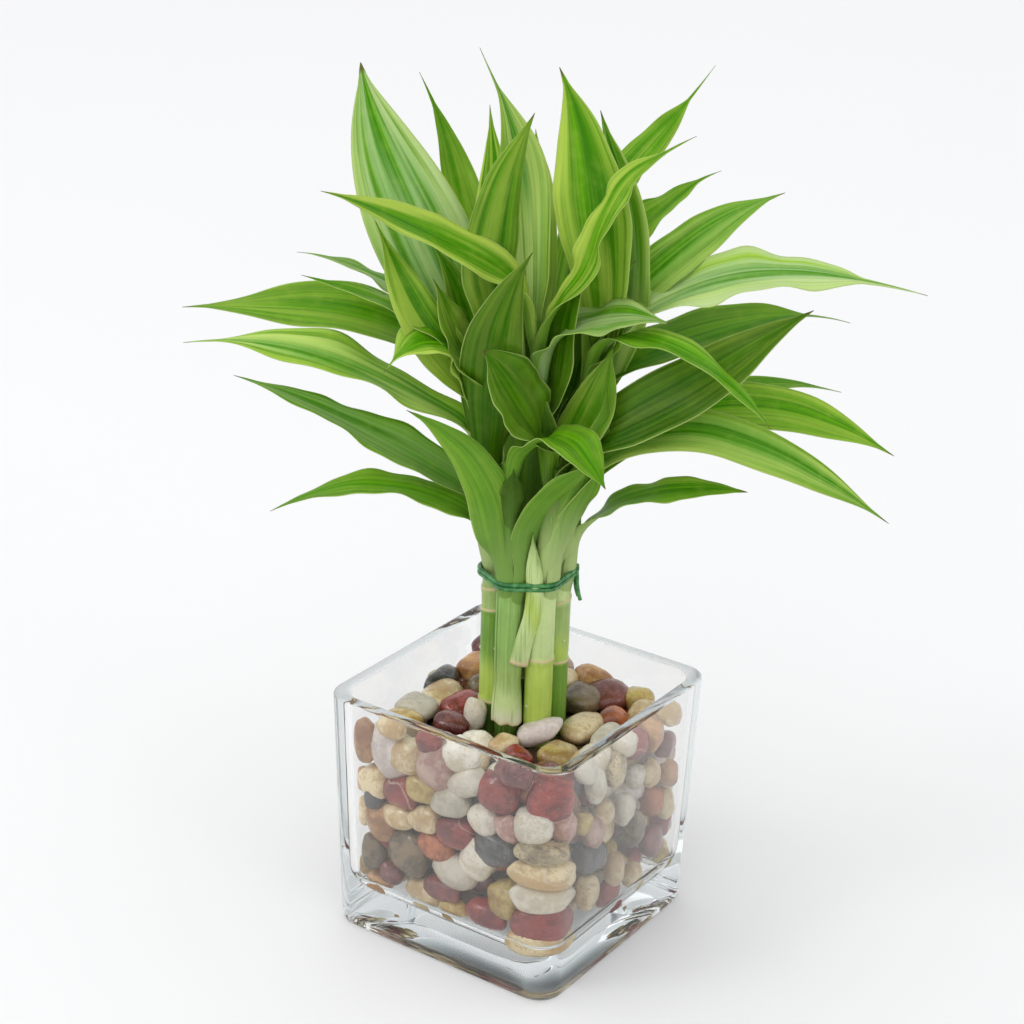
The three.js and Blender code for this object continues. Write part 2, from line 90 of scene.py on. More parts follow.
# Leaves
BEND = 22
SHEATH_RISE = 84
LEAF_START = 3.2
HEADING_ZERO = 34
CUP = ((0, 95), (0.15, 70), (0.4, 22), (1, 12))
SHEATH_WIDTH = 0.42
WIDEN_FROM = 0.12
TAIL_WIDTH = 0.085
WAVES = 2.8
ALONG = 64
ACROSS = 12
MIDRIB_HALF = 0.33
EDGE_HALF = 0.1
RIPPLE = 1.25
STEM_INSET = 0.8
STEM_SIDES = 24
STEM_RINGS = 27
SHEATH_GAP = 0.3
SHEATH_STEP = 0.16
SHEATH_SINK = 1.2
SHEATH_LEAD = 13


def metres(point):
    return Vector(point) * MM


def smooth(value):
    value = min(1.0, max(0.0, value))
    return value * value * (3 - 2 * value)


def lerp(a, b, share):
    return a + (b - a) * share


def shade(red, green, blue):
    """A display colour from 0 to 255 as the linear colour that shaders take."""
    values = (red, green, blue)
    return tuple((x / 255 + 0.055) ** 2.4 / 1.055 ** 2.4 if x > 10 else x / 3295 for x in values)


def facing(right, toward, z):
    """A point by how far it lies right of the vase's middle and toward the camera, as the camera stands."""
    turn = radians(CAMERA_AZIMUTH)
    return Vector((right * cos(turn) + toward * sin(turn), right * sin(turn) - toward * cos(turn), z))


def knots(pairs, at, ease=smooth):
    """The value at a place among (place, value) pairs, eased between them."""
    for (a, low), (b, high) in zip(pairs, pairs[1:]):
        if at <= b:
            return lerp(low, high, ease((at - a) / (b - a)))
    return pairs[-1][1]


def direction(azimuth, elevation=0.0):
    """The unit vector at an azimuth from +X and an elevation, in radians."""
    level = cos(elevation)
    return Vector((level * cos(azimuth), level * sin(azimuth), sin(elevation)))


# Meshes

def add_piece(name, material, points, faces, attributes=None, node=None, slot=None):
    """A smooth mesh piece from millimetre points. attributes maps a name to one vector for each point."""
    mesh = bpy.data.meshes.new(name)
    mesh.from_pydata([metres(p) for p in points], [], faces)
    mesh.update()
    for key, values in (attributes or {}).items():
        layer = mesh.attributes.new(key, "FLOAT_VECTOR", "POINT")
        layer.data.foreach_set("vector", [x for value in values for x in value])
    mesh.polygons.foreach_set("use_smooth", [True] * len(mesh.polygons))
    mesh.materials.append(material)
    piece = bpy.data.objects.new(name, mesh)
    bpy.context.scene.collection.objects.link(piece)
    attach(piece, "root")
    if node:
        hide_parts(node)
    return piece


def ring_faces(rings, count):
    """Faces of a tube through `rings` rings of `count` points, its ends closed by one face each."""
    faces = []
    for low in range(0, (rings - 1) * count, count):
        for j in range(count):
            after = (j + 1) % count
            faces.append((low + j, low + after, low + after + count, low + j + count))
    faces.append(tuple(reversed(range(count))))
    faces.append(tuple(range((rings - 1) * count, rings * count)))
    return faces


def skin_rings(rings):
    """The points of rings, each of as many points, and the faces of the tube through them."""
    return [p for ring in rings for p in ring], ring_faces(len(rings), len(rings[0]))


class Parts:
    """Points, faces and attributes of several shapes that become one piece."""

    def __init__(self, *keys):
        self.points = []
        self.faces = []
        self.attributes = {key: [] for key in keys}

    def add(self, points, faces, **attributes):
        """Add a shape. An attribute is a list with a value for each point, or one value for them all."""
        start = len(self.points)
        self.points.extend(points)
        self.faces.extend(tuple(start + i for i in face) for face in faces)
        for key, value in attributes.items():
            values = value if isinstance(value, list) else [value] * len(points)
            self.attributes[key].extend(values)

    def piece(self, name, material, **options):
        add_piece(name, material, self.points, self.faces, self.attributes, **options)


# Materials

class Nodes:
    """The node tree of a material or a world, built from coordinates to its shader."""

    def __init__(self, name, home=bpy.data.materials, shader="Principled BSDF", output="Material Output"):
        self.owner = home.new(name)
        self.owner.use_nodes = True
        self.tree = self.owner.node_tree
        self.shader = self.tree.nodes[shader]
        self.output = self.tree.nodes[output]

    def node(self, kind, *values, **named):
        """A new node: values fill its sockets in order, capitalised names are sockets, others settings."""
        made = self.tree.nodes.new("ShaderNode" + kind)
        for key, value in named.items():
            if key[0].isupper():
                self.put(made.inputs[key], value)
            else:
                setattr(made, key, value)
        for socket, value in zip(made.inputs, values):
            self.put(socket, value)
        return made

    def put(self, socket, value):
        if isinstance(value, bpy.types.NodeSocket):
            self.tree.links.new(value, socket)
        elif socket.type == "RGBA":
            socket.default_value = (*value, 1)
        else:
            socket.default_value = value

    def set(self, **inputs):
        for key, value in inputs.items():
            self.put(self.shader.inputs[key.replace("_", " ")], value)

    def share_with(self, share, other):
        """The surface as the main shader, with another shader for a share of it."""
        made = self.node("MixShader", share, self.shader.outputs[0], other.outputs[0])
        self.put(self.output.inputs["Surface"], made.outputs[0])

    def math(self, operation, *values, clamp=False):
        return self.node("Math", *values, operation=operation, use_clamp=clamp).outputs[0]

    def times(self, a, b, clamp=False):
        return self.math("MULTIPLY", a, b, clamp=clamp)

    def line(self, a, factor, start):
        """start plus a times factor."""
        return self.math("MULTIPLY_ADD", a, factor, start)

    def step(self, value, low, high, first=0.0, last=1.0):
        """The first value below low, the last above high and smooth between."""
        values = (value, low, high, first, last)
        return self.node("MapRange", *values, interpolation_type="SMOOTHSTEP").outputs[0]

    def mix(self, share, a, b):
        made = self.node("Mix", share, data_type="RGBA")
        self.put(made.inputs[6], a)
        self.put(made.inputs[7], b)
        return made.outputs[2]

    def tint(self, colour, other, amount, mask, low, high):
        """The colour, turned to another one where a mask steps up, as far as the amount says."""
        return self.mix(self.times(self.step(mask, low, high), amount), colour, other)

    def tone(self, colour, value):
        return self.node("HueSaturation", Value=value, Color=colour).outputs[0]

    def attribute(self, name):
        return self.node("Attribute", attribute_name=name).outputs["Vector"]

    def split(self, vector):
        return self.node("SeparateXYZ", vector).outputs

    def join(self, *values):
        return self.node("CombineXYZ", *values).outputs[0]

    def place(self):
        return self.node("TexCoord").outputs["Object"]

    def noise(self, vector, scale, detail=2.0, roughness=0.5):
        made = self.node("TexNoise", Vector=vector, Scale=scale, Detail=detail, Roughness=roughness)
        return made.outputs["Fac"]

    def bump(self, height, distance, strength):
        made = self.node("Bump", Height=height, Distance=distance, Strength=strength)
        self.put(self.shader.inputs["Normal"], made.outputs[0])


GLASS_PASSES = 4.5
GLASS_CLEAR = (0.93, 0.95, 0.955)
GLASS_CAST = (0.52, 0.6, 0.62)
GLASS_DENSITY = 5.0


def glass_material():
    """Clear thick glass with a grey-blue cast that deepens along its walls.

    Lamps shine through it, and light that its walls have passed to and fro a few times leaves it.
    """
    n = Nodes("vase_glass")
    n.set(Base_Color=(1, 1, 1), Roughness=0.0, IOR=1.5, Transmission_Weight=1.0)
    path = n.node("LightPath")
    passed = n.math("GREATER_THAN", path.outputs["Ray Depth"], GLASS_PASSES)
    clear = n.node("BsdfTransparent", Color=GLASS_CLEAR)
    n.share_with(n.math("MAXIMUM", path.outputs["Is Shadow Ray"], passed), clear)
    absorb = n.node("VolumeAbsorption", Color=GLASS_CAST, Density=GLASS_DENSITY)
    n.put(n.output.inputs["Volume"], absorb.outputs[0])
    return n.owner


# The blade's centre, its bands, underside, painted sheen (a glossy reflection painted in as a pale colour),
# margin, tip, and the light that comes through it
BLADE_DARK = shade(62, 136, 0)
BLADE_MIDDLE = shade(112, 182, 4)
BLADE_LIGHT = shade(198, 224, 92)
BLADE_UNDER = shade(134, 174, 70)
BLADE_PAINTED_SHEEN = shade(200, 216, 176)
BLADE_MARGIN = shade(200, 220, 130)
BLADE_TIP = shade(110, 85, 50)
BLADE_GLOW = shade(190, 230, 50)
# Heights in metres between which the sheath's colour gives way to the blade's
FOOT_FADE = (0.176, 0.142)
THROUGH_SHARE = 0.28


def leaf_material():
    """Blade: dark centre with fine veins, lighter bands toward the edges, a pale margin and a brown tip.

    The attribute leaf holds the place across (-1 to 1), the place along (0 to 1) and 1 on the underside.
    tint holds how yellow the blade is, how dark, and a number of its own. The sheen attribute is how much
    pale sheen is painted into the colour, a painted glossy reflection, and foot is the colour of its
    sheath.
    """
    n = Nodes("leaf_blade")
    across, along, under = n.split(n.attribute("leaf"))
    yellow, deep, seed = n.split(n.attribute("tint"))
    side = n.math("ABSOLUTE", across)
    row = n.times(along, 1.3)
    shift = n.line(seed, 13.7, row)
    bands = n.noise(n.join(n.line(across, 1.7, seed), shift, seed), 1.0, 1.0)
    stripes = n.noise(n.join(n.line(across, 7.0, seed), shift, seed), 1.0, 3.0)
    veins = n.noise(n.join(n.line(across, 30.0, seed), row, seed), 1.0, 2.0)
    mottle = n.noise(n.place(), 210.0, 4.0)

    band = n.line(n.step(side, 0.3, 0.85), 0.7, n.step(bands, 0.47, 0.6))
    amount = n.times(n.times(band, yellow), n.step(stripes, 0.2, 0.5), clamp=True)
    colour = n.mix(n.step(stripes, 0.34, 0.66), BLADE_DARK, BLADE_MIDDLE)
    colour = n.mix(amount, colour, BLADE_LIGHT)
    colour = n.tint(colour, BLADE_DARK, 0.3, veins, 0.54, 0.66)
    colour = n.tint(colour, BLADE_LIGHT, 0.16, veins, 0.46, 0.34)
    colour = n.tint(colour, BLADE_LIGHT, 0.16, mottle, 0.45, 0.75)
    colour = n.mix(n.times(under, 0.4), colour, BLADE_UNDER)
    painted_sheen = n.split(n.attribute("painted_sheen"))[0]
    # Painted sheen: a pale glossy reflection painted into the colour in streaks, as far as the leaf's sheen
    # attribute says
    colour = n.tint(colour, BLADE_PAINTED_SHEEN, painted_sheen, n.math("ADD", stripes, bands), 0.75, 1.2)
    colour = n.tone(colour, n.math("SUBTRACT", 1.0, deep))
    height = n.split(n.place())[2]
    low = n.math("MAXIMUM", n.step(height, *FOOT_FADE), n.times(n.step(along, 0.24, 0.0), 0.35))
    lines = n.line(n.step(veins, 0.4, 0.62), 0.14, 0.86)
    colour = n.mix(n.times(low, lines), colour, n.attribute("foot"))
    colour = n.tint(colour, BLADE_MARGIN, 0.7, side, 0.95, 0.985)
    colour = n.tint(colour, BLADE_TIP, 0.8, n.line(mottle, 0.012, along), 0.978, 0.994)
    gloss = n.line(under, 0.14, n.line(mottle, 0.2, 0.24))
    n.set(Base_Color=colour, Roughness=gloss, IOR=1.4, Specular_IOR_Level=0.25)
    n.bump(n.line(veins, 0.5, n.line(mottle, 0.35, stripes)), 0.00028, 0.9)
    through = n.node("BsdfTranslucent", Color=n.mix(0.5, colour, BLADE_GLOW))
    n.share_with(THROUGH_SHARE, through)
    return n.owner


def cane_material(name, gloss):
    """Cane or sheath: the attribute skin's colour with fine lines along it.

    The attribute marks holds how much of a scar a point is, how papery and how streaked.
    """
    n = Nodes(name)
    scar, paper, streak = n.split(n.attribute("marks"))
    x, y, z = n.split(n.place())
    fine = n.join(n.times(x, 1500.0), n.times(y, 1500.0), n.times(z, 50.0))
    lines = n.noise(fine, 1.0, 3.0)
    cloud = n.noise(n.place(), 110.0, 4.0)
    colour = n.tone(n.attribute("skin"), n.line(cloud, 0.5, 0.75))
    colour = n.tint(colour, shade(195, 215, 150), streak, lines, 0.52, 0.66)
    colour = n.tint(colour, shade(70, 115, 45), streak, lines, 0.48, 0.34)
    colour = n.tint(colour, shade(222, 220, 196), paper, lines, 0.3, 0.6)
    colour = n.mix(scar, colour, shade(206, 186, 142))
    n.set(Base_Color=colour, Roughness=n.line(cloud, 0.2, gloss), IOR=1.45)
    n.bump(n.line(lines, 0.5, cloud), 0.0003, 0.7)
    return n.owner


# Kinds of pebble: base colour, second colour, share of the second colour, roughness
STONE_LOOKS = {
    "white": ((234, 228, 212), (196, 180, 150), 0.35, 0.26),
    "cream": ((228, 210, 168), (188, 152, 100), 0.45, 0.24),
    "yellow": ((202, 178, 104), (158, 124, 60), 0.5, 0.22),
    "tan": ((206, 158, 108), (158, 108, 66), 0.5, 0.24),
    "rust": ((204, 122, 74), (140, 74, 44), 0.5, 0.2),
    "red": ((156, 60, 48), (108, 34, 28), 0.5, 0.14),
    "maroon": ((92, 36, 34), (146, 84, 74), 0.3, 0.14),
    "mauve": ((176, 130, 116), (212, 182, 166), 0.5, 0.28),
    "lilac": ((196, 182, 176), (224, 214, 204), 0.5, 0.3),
    "grey": ((196, 187, 166), (222, 214, 196), 0.5, 0.28),
    "slate": ((52, 50, 50), (104, 102, 100), 0.3, 0.18),
    "olive": ((88, 74, 52), (140, 120, 88), 0.45, 0.2),
    "speckled": ((212, 192, 150), (80, 64, 46), 0.3, 0.26),
}


def stone_material(kind):
    """Polished pebble: clouds of its second colour, fine specks and a few pale veins."""
    base, second, share, roughness = STONE_LOOKS[kind]
    second = shade(*second)
    n = Nodes(f"pebble_{kind}")
    own = n.split(n.attribute("stone"))[0]
    x, y, z = n.split(n.place())
    place = n.join(n.math("ADD", x, own), y, z)
    clouds = n.noise(place, 95.0, 5.0, 0.65)
    blots = n.noise(place, 330.0, 3.0, 0.6)
    specks = n.noise(place, 1100.0, 2.0, 0.6)
    bend = n.line(n.noise(place, 60.0, 2.0), 1.6, n.times(n.math("ADD", x, z), 40.0))
    vein = n.math("ABSOLUTE", n.math("SUBTRACT", n.math("FRACT", bend), 0.5))
    veined = n.step(n.math("FRACT", n.times(own, 3.7)), 0.84, 0.86)
    cloudy = n.times(n.step(clouds, 0.42, 0.62), 2 * share, clamp=True)
    colour = n.mix(cloudy, shade(*base), second)
    colour = n.tint(colour, second, 0.55, blots, 0.52, 0.66)
    colour = n.tint(colour, second, 0.6, specks, 0.57, 0.67)
    colour = n.tint(colour, shade(232, 222, 206), 0.16, specks, 0.38, 0.28)
    colour = n.tone(colour, n.line(n.math("FRACT", n.times(own, 7.3)), 0.3, 0.8))
    colour = n.tint(colour, shade(222, 208, 188), n.times(veined, 0.4), vein, 0.022, 0.006)
    n.set(Base_Color=colour, Roughness=n.line(clouds, 0.2, roughness - 0.08))
    n.set(Coat_Weight=0.2, Coat_Roughness=0.06)
    n.bump(n.line(specks, 0.4, n.line(blots, 0.6, clouds)), 0.0006, 0.6)
    return n.owner


def wire_material():
    n = Nodes("tie_wire")
    grain = n.noise(n.place(), 500.0, 2.0)
    colour = n.mix(n.step(grain, 0.35, 0.7), shade(34, 104, 48), shade(84, 150, 84))
    n.set(Base_Color=colour, Roughness=n.line(grain, 0.2, 0.22))
    n.bump(grain, 0.0001, 0.5)
    return n.owner


def floor_material():
    n = Nodes("studio_floor")
    grain = n.noise(n.place(), 3.0, 2.0)
    n.set(Base_Color=n.mix(grain, (0.86, 0.86, 0.865), (0.88, 0.88, 0.885)), Roughness=0.7)
    return n.owner


# Vase

def rounded_square(half, corner, z):
    points = []
    reach = (half - corner) * sqrt(2)
    for quarter in range(4):
        middle = pi / 2 * quarter + pi / 4
        for step in range(CORNER_STEPS + 1):
            angle = pi / 2 * (quarter + step / CORNER_STEPS)
            x = reach * cos(middle) + corner * cos(angle)
            points.append((x, reach * sin(middle) + corner * sin(angle), z))
    return points


def outer_half(z):
    return BASE_HALF + (RIM_HALF - BASE_HALF) * z / VASE_HEIGHT


def inner_half(z):
    return outer_half(z) - WALL


def inset_ring(inset, z):
    return rounded_square(outer_half(z) - inset, max(CORNER_MIN, CORNER - inset * CORNER_SHRINK), z)


def angles(steps, last):
    return [radians(last * i / steps) for i in range(steps + 1)]


def make_vase():
    """The vase: rings from the middle of its foot up its walls, over the rim and down to its floor."""
    profile = [(30, FOOT_HOLLOW), (FOOT_RIM + 2.5, FOOT_HOLLOW), (FOOT_RIM + 0.8, 0.4), (FOOT_RIM, 0)]
    for angle in angles(7, 90):
        profile.append((FOOT_ROUND * (1 - sin(angle)), FOOT_ROUND * (1 - cos(angle))))
    profile.extend((0, z) for z in (12, 30, 60, 82))
    for angle in angles(16, 180):
        across = copysign(abs(cos(angle)) ** RIM_SQUARE, cos(angle))
        rise = abs(sin(angle)) ** RIM_SQUARE
        profile.append((WALL / 2 * (1 - across), VASE_HEIGHT - RIM_ROUND * (1 - rise)))
    profile.extend((WALL, z) for z in (82, 60, 35, FLOOR + FLOOR_ROUND + 3))
    for angle in angles(8, 90):
        round_in = FLOOR_ROUND * (1 - cos(angle))
        profile.append((WALL + round_in, FLOOR + FLOOR_ROUND * (1 - sin(angle))))
    profile.extend((WALL + FLOOR_ROUND + inset, FLOOR) for inset in (15, 25.5))
    rings = [inset_ring(inset, z) for inset, z in profile]
    add_piece("vase_glass", glass_material(), *skin_rings(rings), node="vase", slot="glass")


# Pebbles. Against the left front wall: along X, height, half width, half height, look and any tilt
LEFT_WALL = (
    (-36, 76, 5, 9, "tan"), (-26, 75, 8, 11, "lilac", 20), (-19, 75, 7.5, 7, "cream"),
    (-6, 75, 8, 11, "mauve"), (5, 84, 8, 6, "white"), (8, 74, 9, 5.5, "grey", 35), (20, 74, 8.5, 8, "red"),
    (-33, 60, 6.5, 7, "cream"), (-21, 60, 8, 7, "red"), (-11, 65, 7, 5.5, "yellow"),
    (1, 64, 9, 5.5, "grey", 25), (15, 62, 6.5, 6, "white"), (26, 63, 5, 6, "mauve", 45),
    (-30, 45, 7, 8.5, "tan"), (-21, 50, 7, 4.5, "cream"), (-10, 53, 7, 5, "cream", 20),
    (3, 52, 8.5, 6, "red", 15), (20, 52, 10, 7, "slate"), (-18, 36, 9, 9.5, "olive"),
    (-5, 43, 8, 5.5, "rust"), (-32, 31, 5, 7, "olive"), (13, 45, 7.5, 9, "white", -25),
    (3, 36, 10, 6.5, "grey", -15), (24, 33, 7, 7, "yellow"), (-2, 27, 9, 4.5, "maroon"),
    (17, 23, 9, 6, "red"), (-10, 22, 8, 5.5, "cream"), (3, 21, 6, 4, "yellow"), (-24, 25, 5, 4.5, "maroon"),
    (-30, 20, 6, 4, "tan"), (-8, 85, 5, 4, "red"), (-25, 85, 6, 4, "cream"), (28, 85, 8, 5, "maroon"),
)

# The same against the right front wall, along Y
RIGHT_WALL = (
    (-33, 78, 7, 8, "maroon"), (-15, 73, 5, 7.3, "white"), (-4, 75, 4.3, 7.5, "speckled"),
    (11, 78, 5.6, 6.3, "red"), (31, 70, 4.5, 5.2, "maroon"), (33, 81, 5.5, 4.5, "cream"),
    (22, 62, 4.2, 6, "cream"), (34, 56, 3.5, 5.5, "tan"), (11, 65, 4, 5, "white"), (5, 55, 4.6, 6, "grey"),
    (34, 43, 3.5, 6.3, "cream"), (-14, 54, 5.6, 6.3, "mauve"), (14, 43, 4.2, 7, "olive"),
    (-14, 44, 8, 7, "slate"), (2, 31, 5, 7, "cream"), (26, 31, 5, 7, "maroon"), (15, 22, 4.5, 5.6, "cream"),
    (-15, 30, 5, 7.4, "cream"), (-1, 21, 5.6, 6.3, "red"), (35, 21, 3.5, 4.3, "yellow"),
    (-22, 62, 4, 4, "yellow"), (-9, 60, 4.5, 5, "cream"), (-34, 62, 6, 7, "speckled"),
    (-34, 48, 6, 6, "white"), (-34, 34, 7, 7, "red"), (-32, 22, 7, 5, "cream"), (21, 78, 5, 6, "tan"),
    (2, 82, 5, 5, "white"), (-22, 82, 5, 5, "grey"),
)

# Top layer: X, Y, half sizes along X and Y, look
TOP_LAYER = (
    (-38, 33, 5.5, 7, "maroon"), (-32, 19, 6.5, 8, "tan"), (-36, 3, 5, 9, "slate"),
    (-31, -5, 7.5, 11, "cream"), (-33, -17, 8, 8, "grey"), (-31, -28, 9, 5, "yellow"),
    (-20, -6, 7, 10, "red"), (-16, -19, 7, 6, "maroon"), (-1, -24, 7, 5, "white"), (8, -21, 5, 6, "cream"),
    (18, -25, 6, 4, "red"), (-12, -33, 8, 6, "white"), (4, -34, 8, 6, "cream"), (20, -35, 7, 6, "grey"),
    (27, -15, 7, 8, "yellow"), (33, -28, 7, 7, "maroon"), (22, 9, 7, 11, "cream"), (11, 25, 8, 9, "olive"),
    (8, 38, 9, 6, "tan"), (17, 33, 9, 9, "maroon"), (28, 20, 5, 6, "rust"), (27, 37, 6, 6, "yellow"),
    (34, 30, 5, 7, "cream"), (34, 7, 5, 8, "grey"), (-8, 37, 6, 6, "mauve"), (-1, 30, 6, 6, "cream"),
    (-24, 9, 5, 6, "olive"), (-22, 33, 7, 7, "tan"), (-14, 24, 7, 7, "white"), (36, -8, 5, 7, "white"),
)

# Stones that lean on the canes or fill a corner: look, middle, half sizes, turn, tilt
LEANING = (
    ("white", (-10.5, -12.5, 82), (4.3, 3.8, 6.6), 20, 8),
    ("lilac", (15, -8.5, 82.3), (8.6, 5, 4.2), 34, -24), ("red", (37, -35, 75), (7, 5, 8), 45, 0),
    ("white", (34.5, -38.5, 66), (6.8, 5, 6.8), 30, 0),
    ("speckled", (36.5, -38.5, 56.5), (9, 5, 4.4), 45, 8),
    ("cream", (37, -37.5, 47.5), (11, 5.5, 5.4), 45, 6),
    ("white", (37.5, -37.5, 38), (10, 5.5, 5.2), 45, 0), ("red", (37, -37, 28), (10.5, 6, 7.6), 45, 0),
    ("cream", (36.5, -36.5, 20), (11, 6, 4.6), 45, 0), ("mauve", (39, -31, 65), (4, 4.6, 6), 80, 0),
)
TOP_STONE_Z = 78.5
TOP_STONE_HALF = 5
STONE_FLATNESS = 0.75
STONE_DEPTH_MIN = 3.6
STONE_DEPTH_MAX = 6
STONE_AROUND = 24
STONE_ROWS = 15
GLASS_GAP = 0.4
FRONT_CORNER = -30
BACK_TOP = 77
BACK_RISE = 0.09
INNER_COUNT = 6
INNER_SPACING = 12.5
INNER_RISE = 10.5
INNER_DEPTH = 8
CORE_DEPTH = 13
CORE_CORNER = 9


def stone_shape(centre, halves, turn, tilt, seed):
    """A pebble: a slightly boxy ellipsoid with low bumps, turned about Z after a tilt about its own Y."""
    spin = Matrix.Rotation(turn, 3, "Z") @ Matrix.Rotation(tilt, 3, "Y")
    power = 2.1 + 0.7 * (seed * 0.618 % 1)
    egg = 0.5 * (seed * 0.377 % 1) - 0.25
    offset = Vector((seed * 3.1, seed * 1.7, seed * 5.3))
    points = []
    for row in range(STONE_ROWS + 1):
        polar = pi * row / STONE_ROWS
        for step in range(STONE_AROUND if 0 < row < STONE_ROWS else 1):
            turned = tau * step / STONE_AROUND
            level = sin(polar)
            d = Vector((level * cos(turned), level * sin(turned), cos(polar)))
            size = sum(abs(x) ** power for x in d) ** (-1 / power)
            size *= 0.95 + 0.16 * noise.noise(d * 1.1 + offset) + 0.04 * noise.noise(d * 2.6 + offset)
            taper = 1 - egg * d.x * size
            shaped = (d.x * size, d.y * size * taper, d.z * size * taper)
            points.append(spin @ Vector([x * half for x, half in zip(shaped, halves)]) + Vector(centre))
    faces = []
    last = len(points) - 1
    for step in range(STONE_AROUND):
        after = (step + 1) % STONE_AROUND
        faces.append((0, 1 + step, 1 + after))
        for row in range(STONE_ROWS - 2):
            low = 1 + row * STONE_AROUND
            faces.append((low + step, low + STONE_AROUND + step, low + STONE_AROUND + after, low + after))
        low = last - STONE_AROUND
        faces.append((last, low + after, low + step))
    return points, faces


def wall_stone(quarter, along, z, half_width, half_height, look, tilt=0, depth_in=0.0):
    """Look, centre, half sizes, turn and tilt of a stone that lies against one of the four walls."""
    depth = min(STONE_DEPTH_MAX, max(STONE_DEPTH_MIN, STONE_FLATNESS * min(half_width, half_height)))
    turn = quarter * pi / 2
    away = inner_half(z) - GLASS_GAP - depth - depth_in
    x = along * cos(turn) + away * sin(turn)
    y = along * sin(turn) - away * cos(turn)
    return look, (x, y, z), (half_width, depth, half_height), turn, radians(-tilt)


def pebble_stones():
    """Every stone as its look, centre, half sizes, turn and tilt."""
    stones = []
    for quarter, wall in ((0, LEFT_WALL), (1, RIGHT_WALL), (2, RIGHT_WALL), (3, RIGHT_WALL)):
        for along, z, *rest in wall:
            if quarter == 1 and along < FRONT_CORNER or quarter > 1 and z > BACK_TOP:
                continue
            stones.append(wall_stone(quarter, along, z, *rest))
    for x, y, half_x, half_y, look in TOP_LAYER:
        z = TOP_STONE_Z + BACK_RISE * max(0, -facing(0, 1, 0).dot((x, y, 0)))
        stones.append((look, (x, y, z), (half_x, half_y, TOP_STONE_HALF), 0.0, 0.0))
    for look, centre, halves, turn, tilt in LEANING:
        stones.append((look, centre, halves, radians(turn), radians(tilt)))
    draw = random.Random(11)
    looks = list(STONE_LOOKS)
    for quarter in range(4):
        for row in range(INNER_COUNT):
            for column in range(INNER_COUNT):
                along = -32 + INNER_SPACING * column + draw.uniform(-3, 3) + 5 * (row % 2)
                z = 22 + INNER_RISE * row + draw.uniform(-2, 2)
                half = draw.uniform(5.5, 8)
                look = draw.choice(looks)
                stones.append(wall_stone(quarter, along, z, half, half * 0.8, look, depth_in=INNER_DEPTH))
    return stones


def press_in(point):
    """Move a point beyond the inner walls, their rounded corners or the floor back to the glass."""
    limit = inner_half(max(point.z, FLOOR)) - GLASS_GAP
    point.x = max(-limit, min(limit, point.x))
    point.y = max(-limit, min(limit, point.y))
    point.z = max(FLOOR + GLASS_GAP, point.z)
    beyond_x = abs(point.x) - limit + CORNER
    beyond_y = abs(point.y) - limit + CORNER
    far = hypot(beyond_x, beyond_y)
    if min(beyond_x, beyond_y) > 0 and far > CORNER:
        point.x -= copysign(beyond_x * (1 - CORNER / far), point.x)
        point.y -= copysign(beyond_y * (1 - CORNER / far), point.y)


def make_pebbles():
    by_look = {look: Parts("stone") for look in STONE_LOOKS}
    for number, (look, centre, halves, turn, tilt) in enumerate(pebble_stones()):
        points, faces = stone_shape(centre, halves, turn, tilt, number + 1)
        for point in points:
            press_in(point)
        by_look[look].add(points, faces, stone=(number * 0.37, 0, 0))
    for look, parts in by_look.items():
        parts.piece(f"pebbles_{look}", stone_material(look), node="pebble_bed", slot="pebbles")
    # The core stands in for the hidden inner stones, and its dark olive look also paints the shade in the
    # gaps between them
    core = []
    for z, inset in ((17, 6), (20, 0), (72, 0), (75, 3)):
        core.append(rounded_square(inner_half(z) - CORE_DEPTH - inset, CORE_CORNER, z))
    parts = Parts("stone")
    parts.add(*skin_rings(core), stone=(0, 0, 0))
    parts.piece("pebble_core", stone_material("olive"), node="pebble_bed", slot="pebbles")


# Stalks

PALE = shade(190, 210, 140)
SAGE = shade(152, 178, 98)
LIME = shade(172, 196, 84)
LEAFY = shade(104, 148, 40)
DARK = shade(62, 92, 18)
BLUISH = shade(132, 170, 84)

# Each cane: its rings as (height, lift of one side, where that side faces), then its colours by height
CANES = {
    "a": (((87.5, 0, 0), (123.5, 0.6, 0), (132, 0.9, 30)),
          ((86, DARK), (89, LIME), (99, LIME), (108, LEAFY), (122, LEAFY), (125, SAGE))),
    "b": (((106, 0, 0),), ((80, DARK), (90, LEAFY), (131, BLUISH))),
    "c": (((109, 0, 0),), ((107, LIME), (111, PALE))),
    "d": (((104, 0, 0), (127, 1.7, 34)),
          ((102, LEAFY), (106, LIME), (118, SAGE), (125, SAGE), (129, PALE))),
    "e": (((98, 0, 0),), ((97, DARK), (100, LIME), (131, SAGE))),
    "f": (((115, 0, 0),), ((20, DARK), (114, LEAFY), (117, LIME), (131, PALE))),
    "g": (((94, 0, 0), (124, 0.8, 150)),
          ((20, DARK), (93, LEAFY), (96, LIME), (123, LEAFY), (126, SAGE), (131, PALE))),
}
CANE_SIDES = 32
CANE_STEP = 1.5
# The front cane is thinner, since the sheath lies over it
FRONT_CANE_THINNER = 0.6
RING_SWELL = 0.3
SCAR_WIDTH = 0.5
CANE_WOBBLE = 0.06
SHOOT_SKINS = {**dict.fromkeys("acdfg", PALE), "b": BLUISH, "e": SAGE}


def around(angle, reach, z):
    """The point at a reach from the bundle's middle."""
    return Vector((BUNDLE[0] + reach * cos(angle), BUNDLE[1] + reach * sin(angle), z))


def bundle_point(name, z, spread=0.0):
    if name == "e":
        return around(0, 0, z)
    return around(radians(RING_ANGLE[name]), RING + spread, z)


def shoot_point(name, z):
    return bundle_point(name, z, max(0.0, z - TIE_Z) * FAN)


def blend_colours(pairs, at):
    return tuple(knots([(place, colour[i]) for place, colour in pairs], at) for i in range(3))


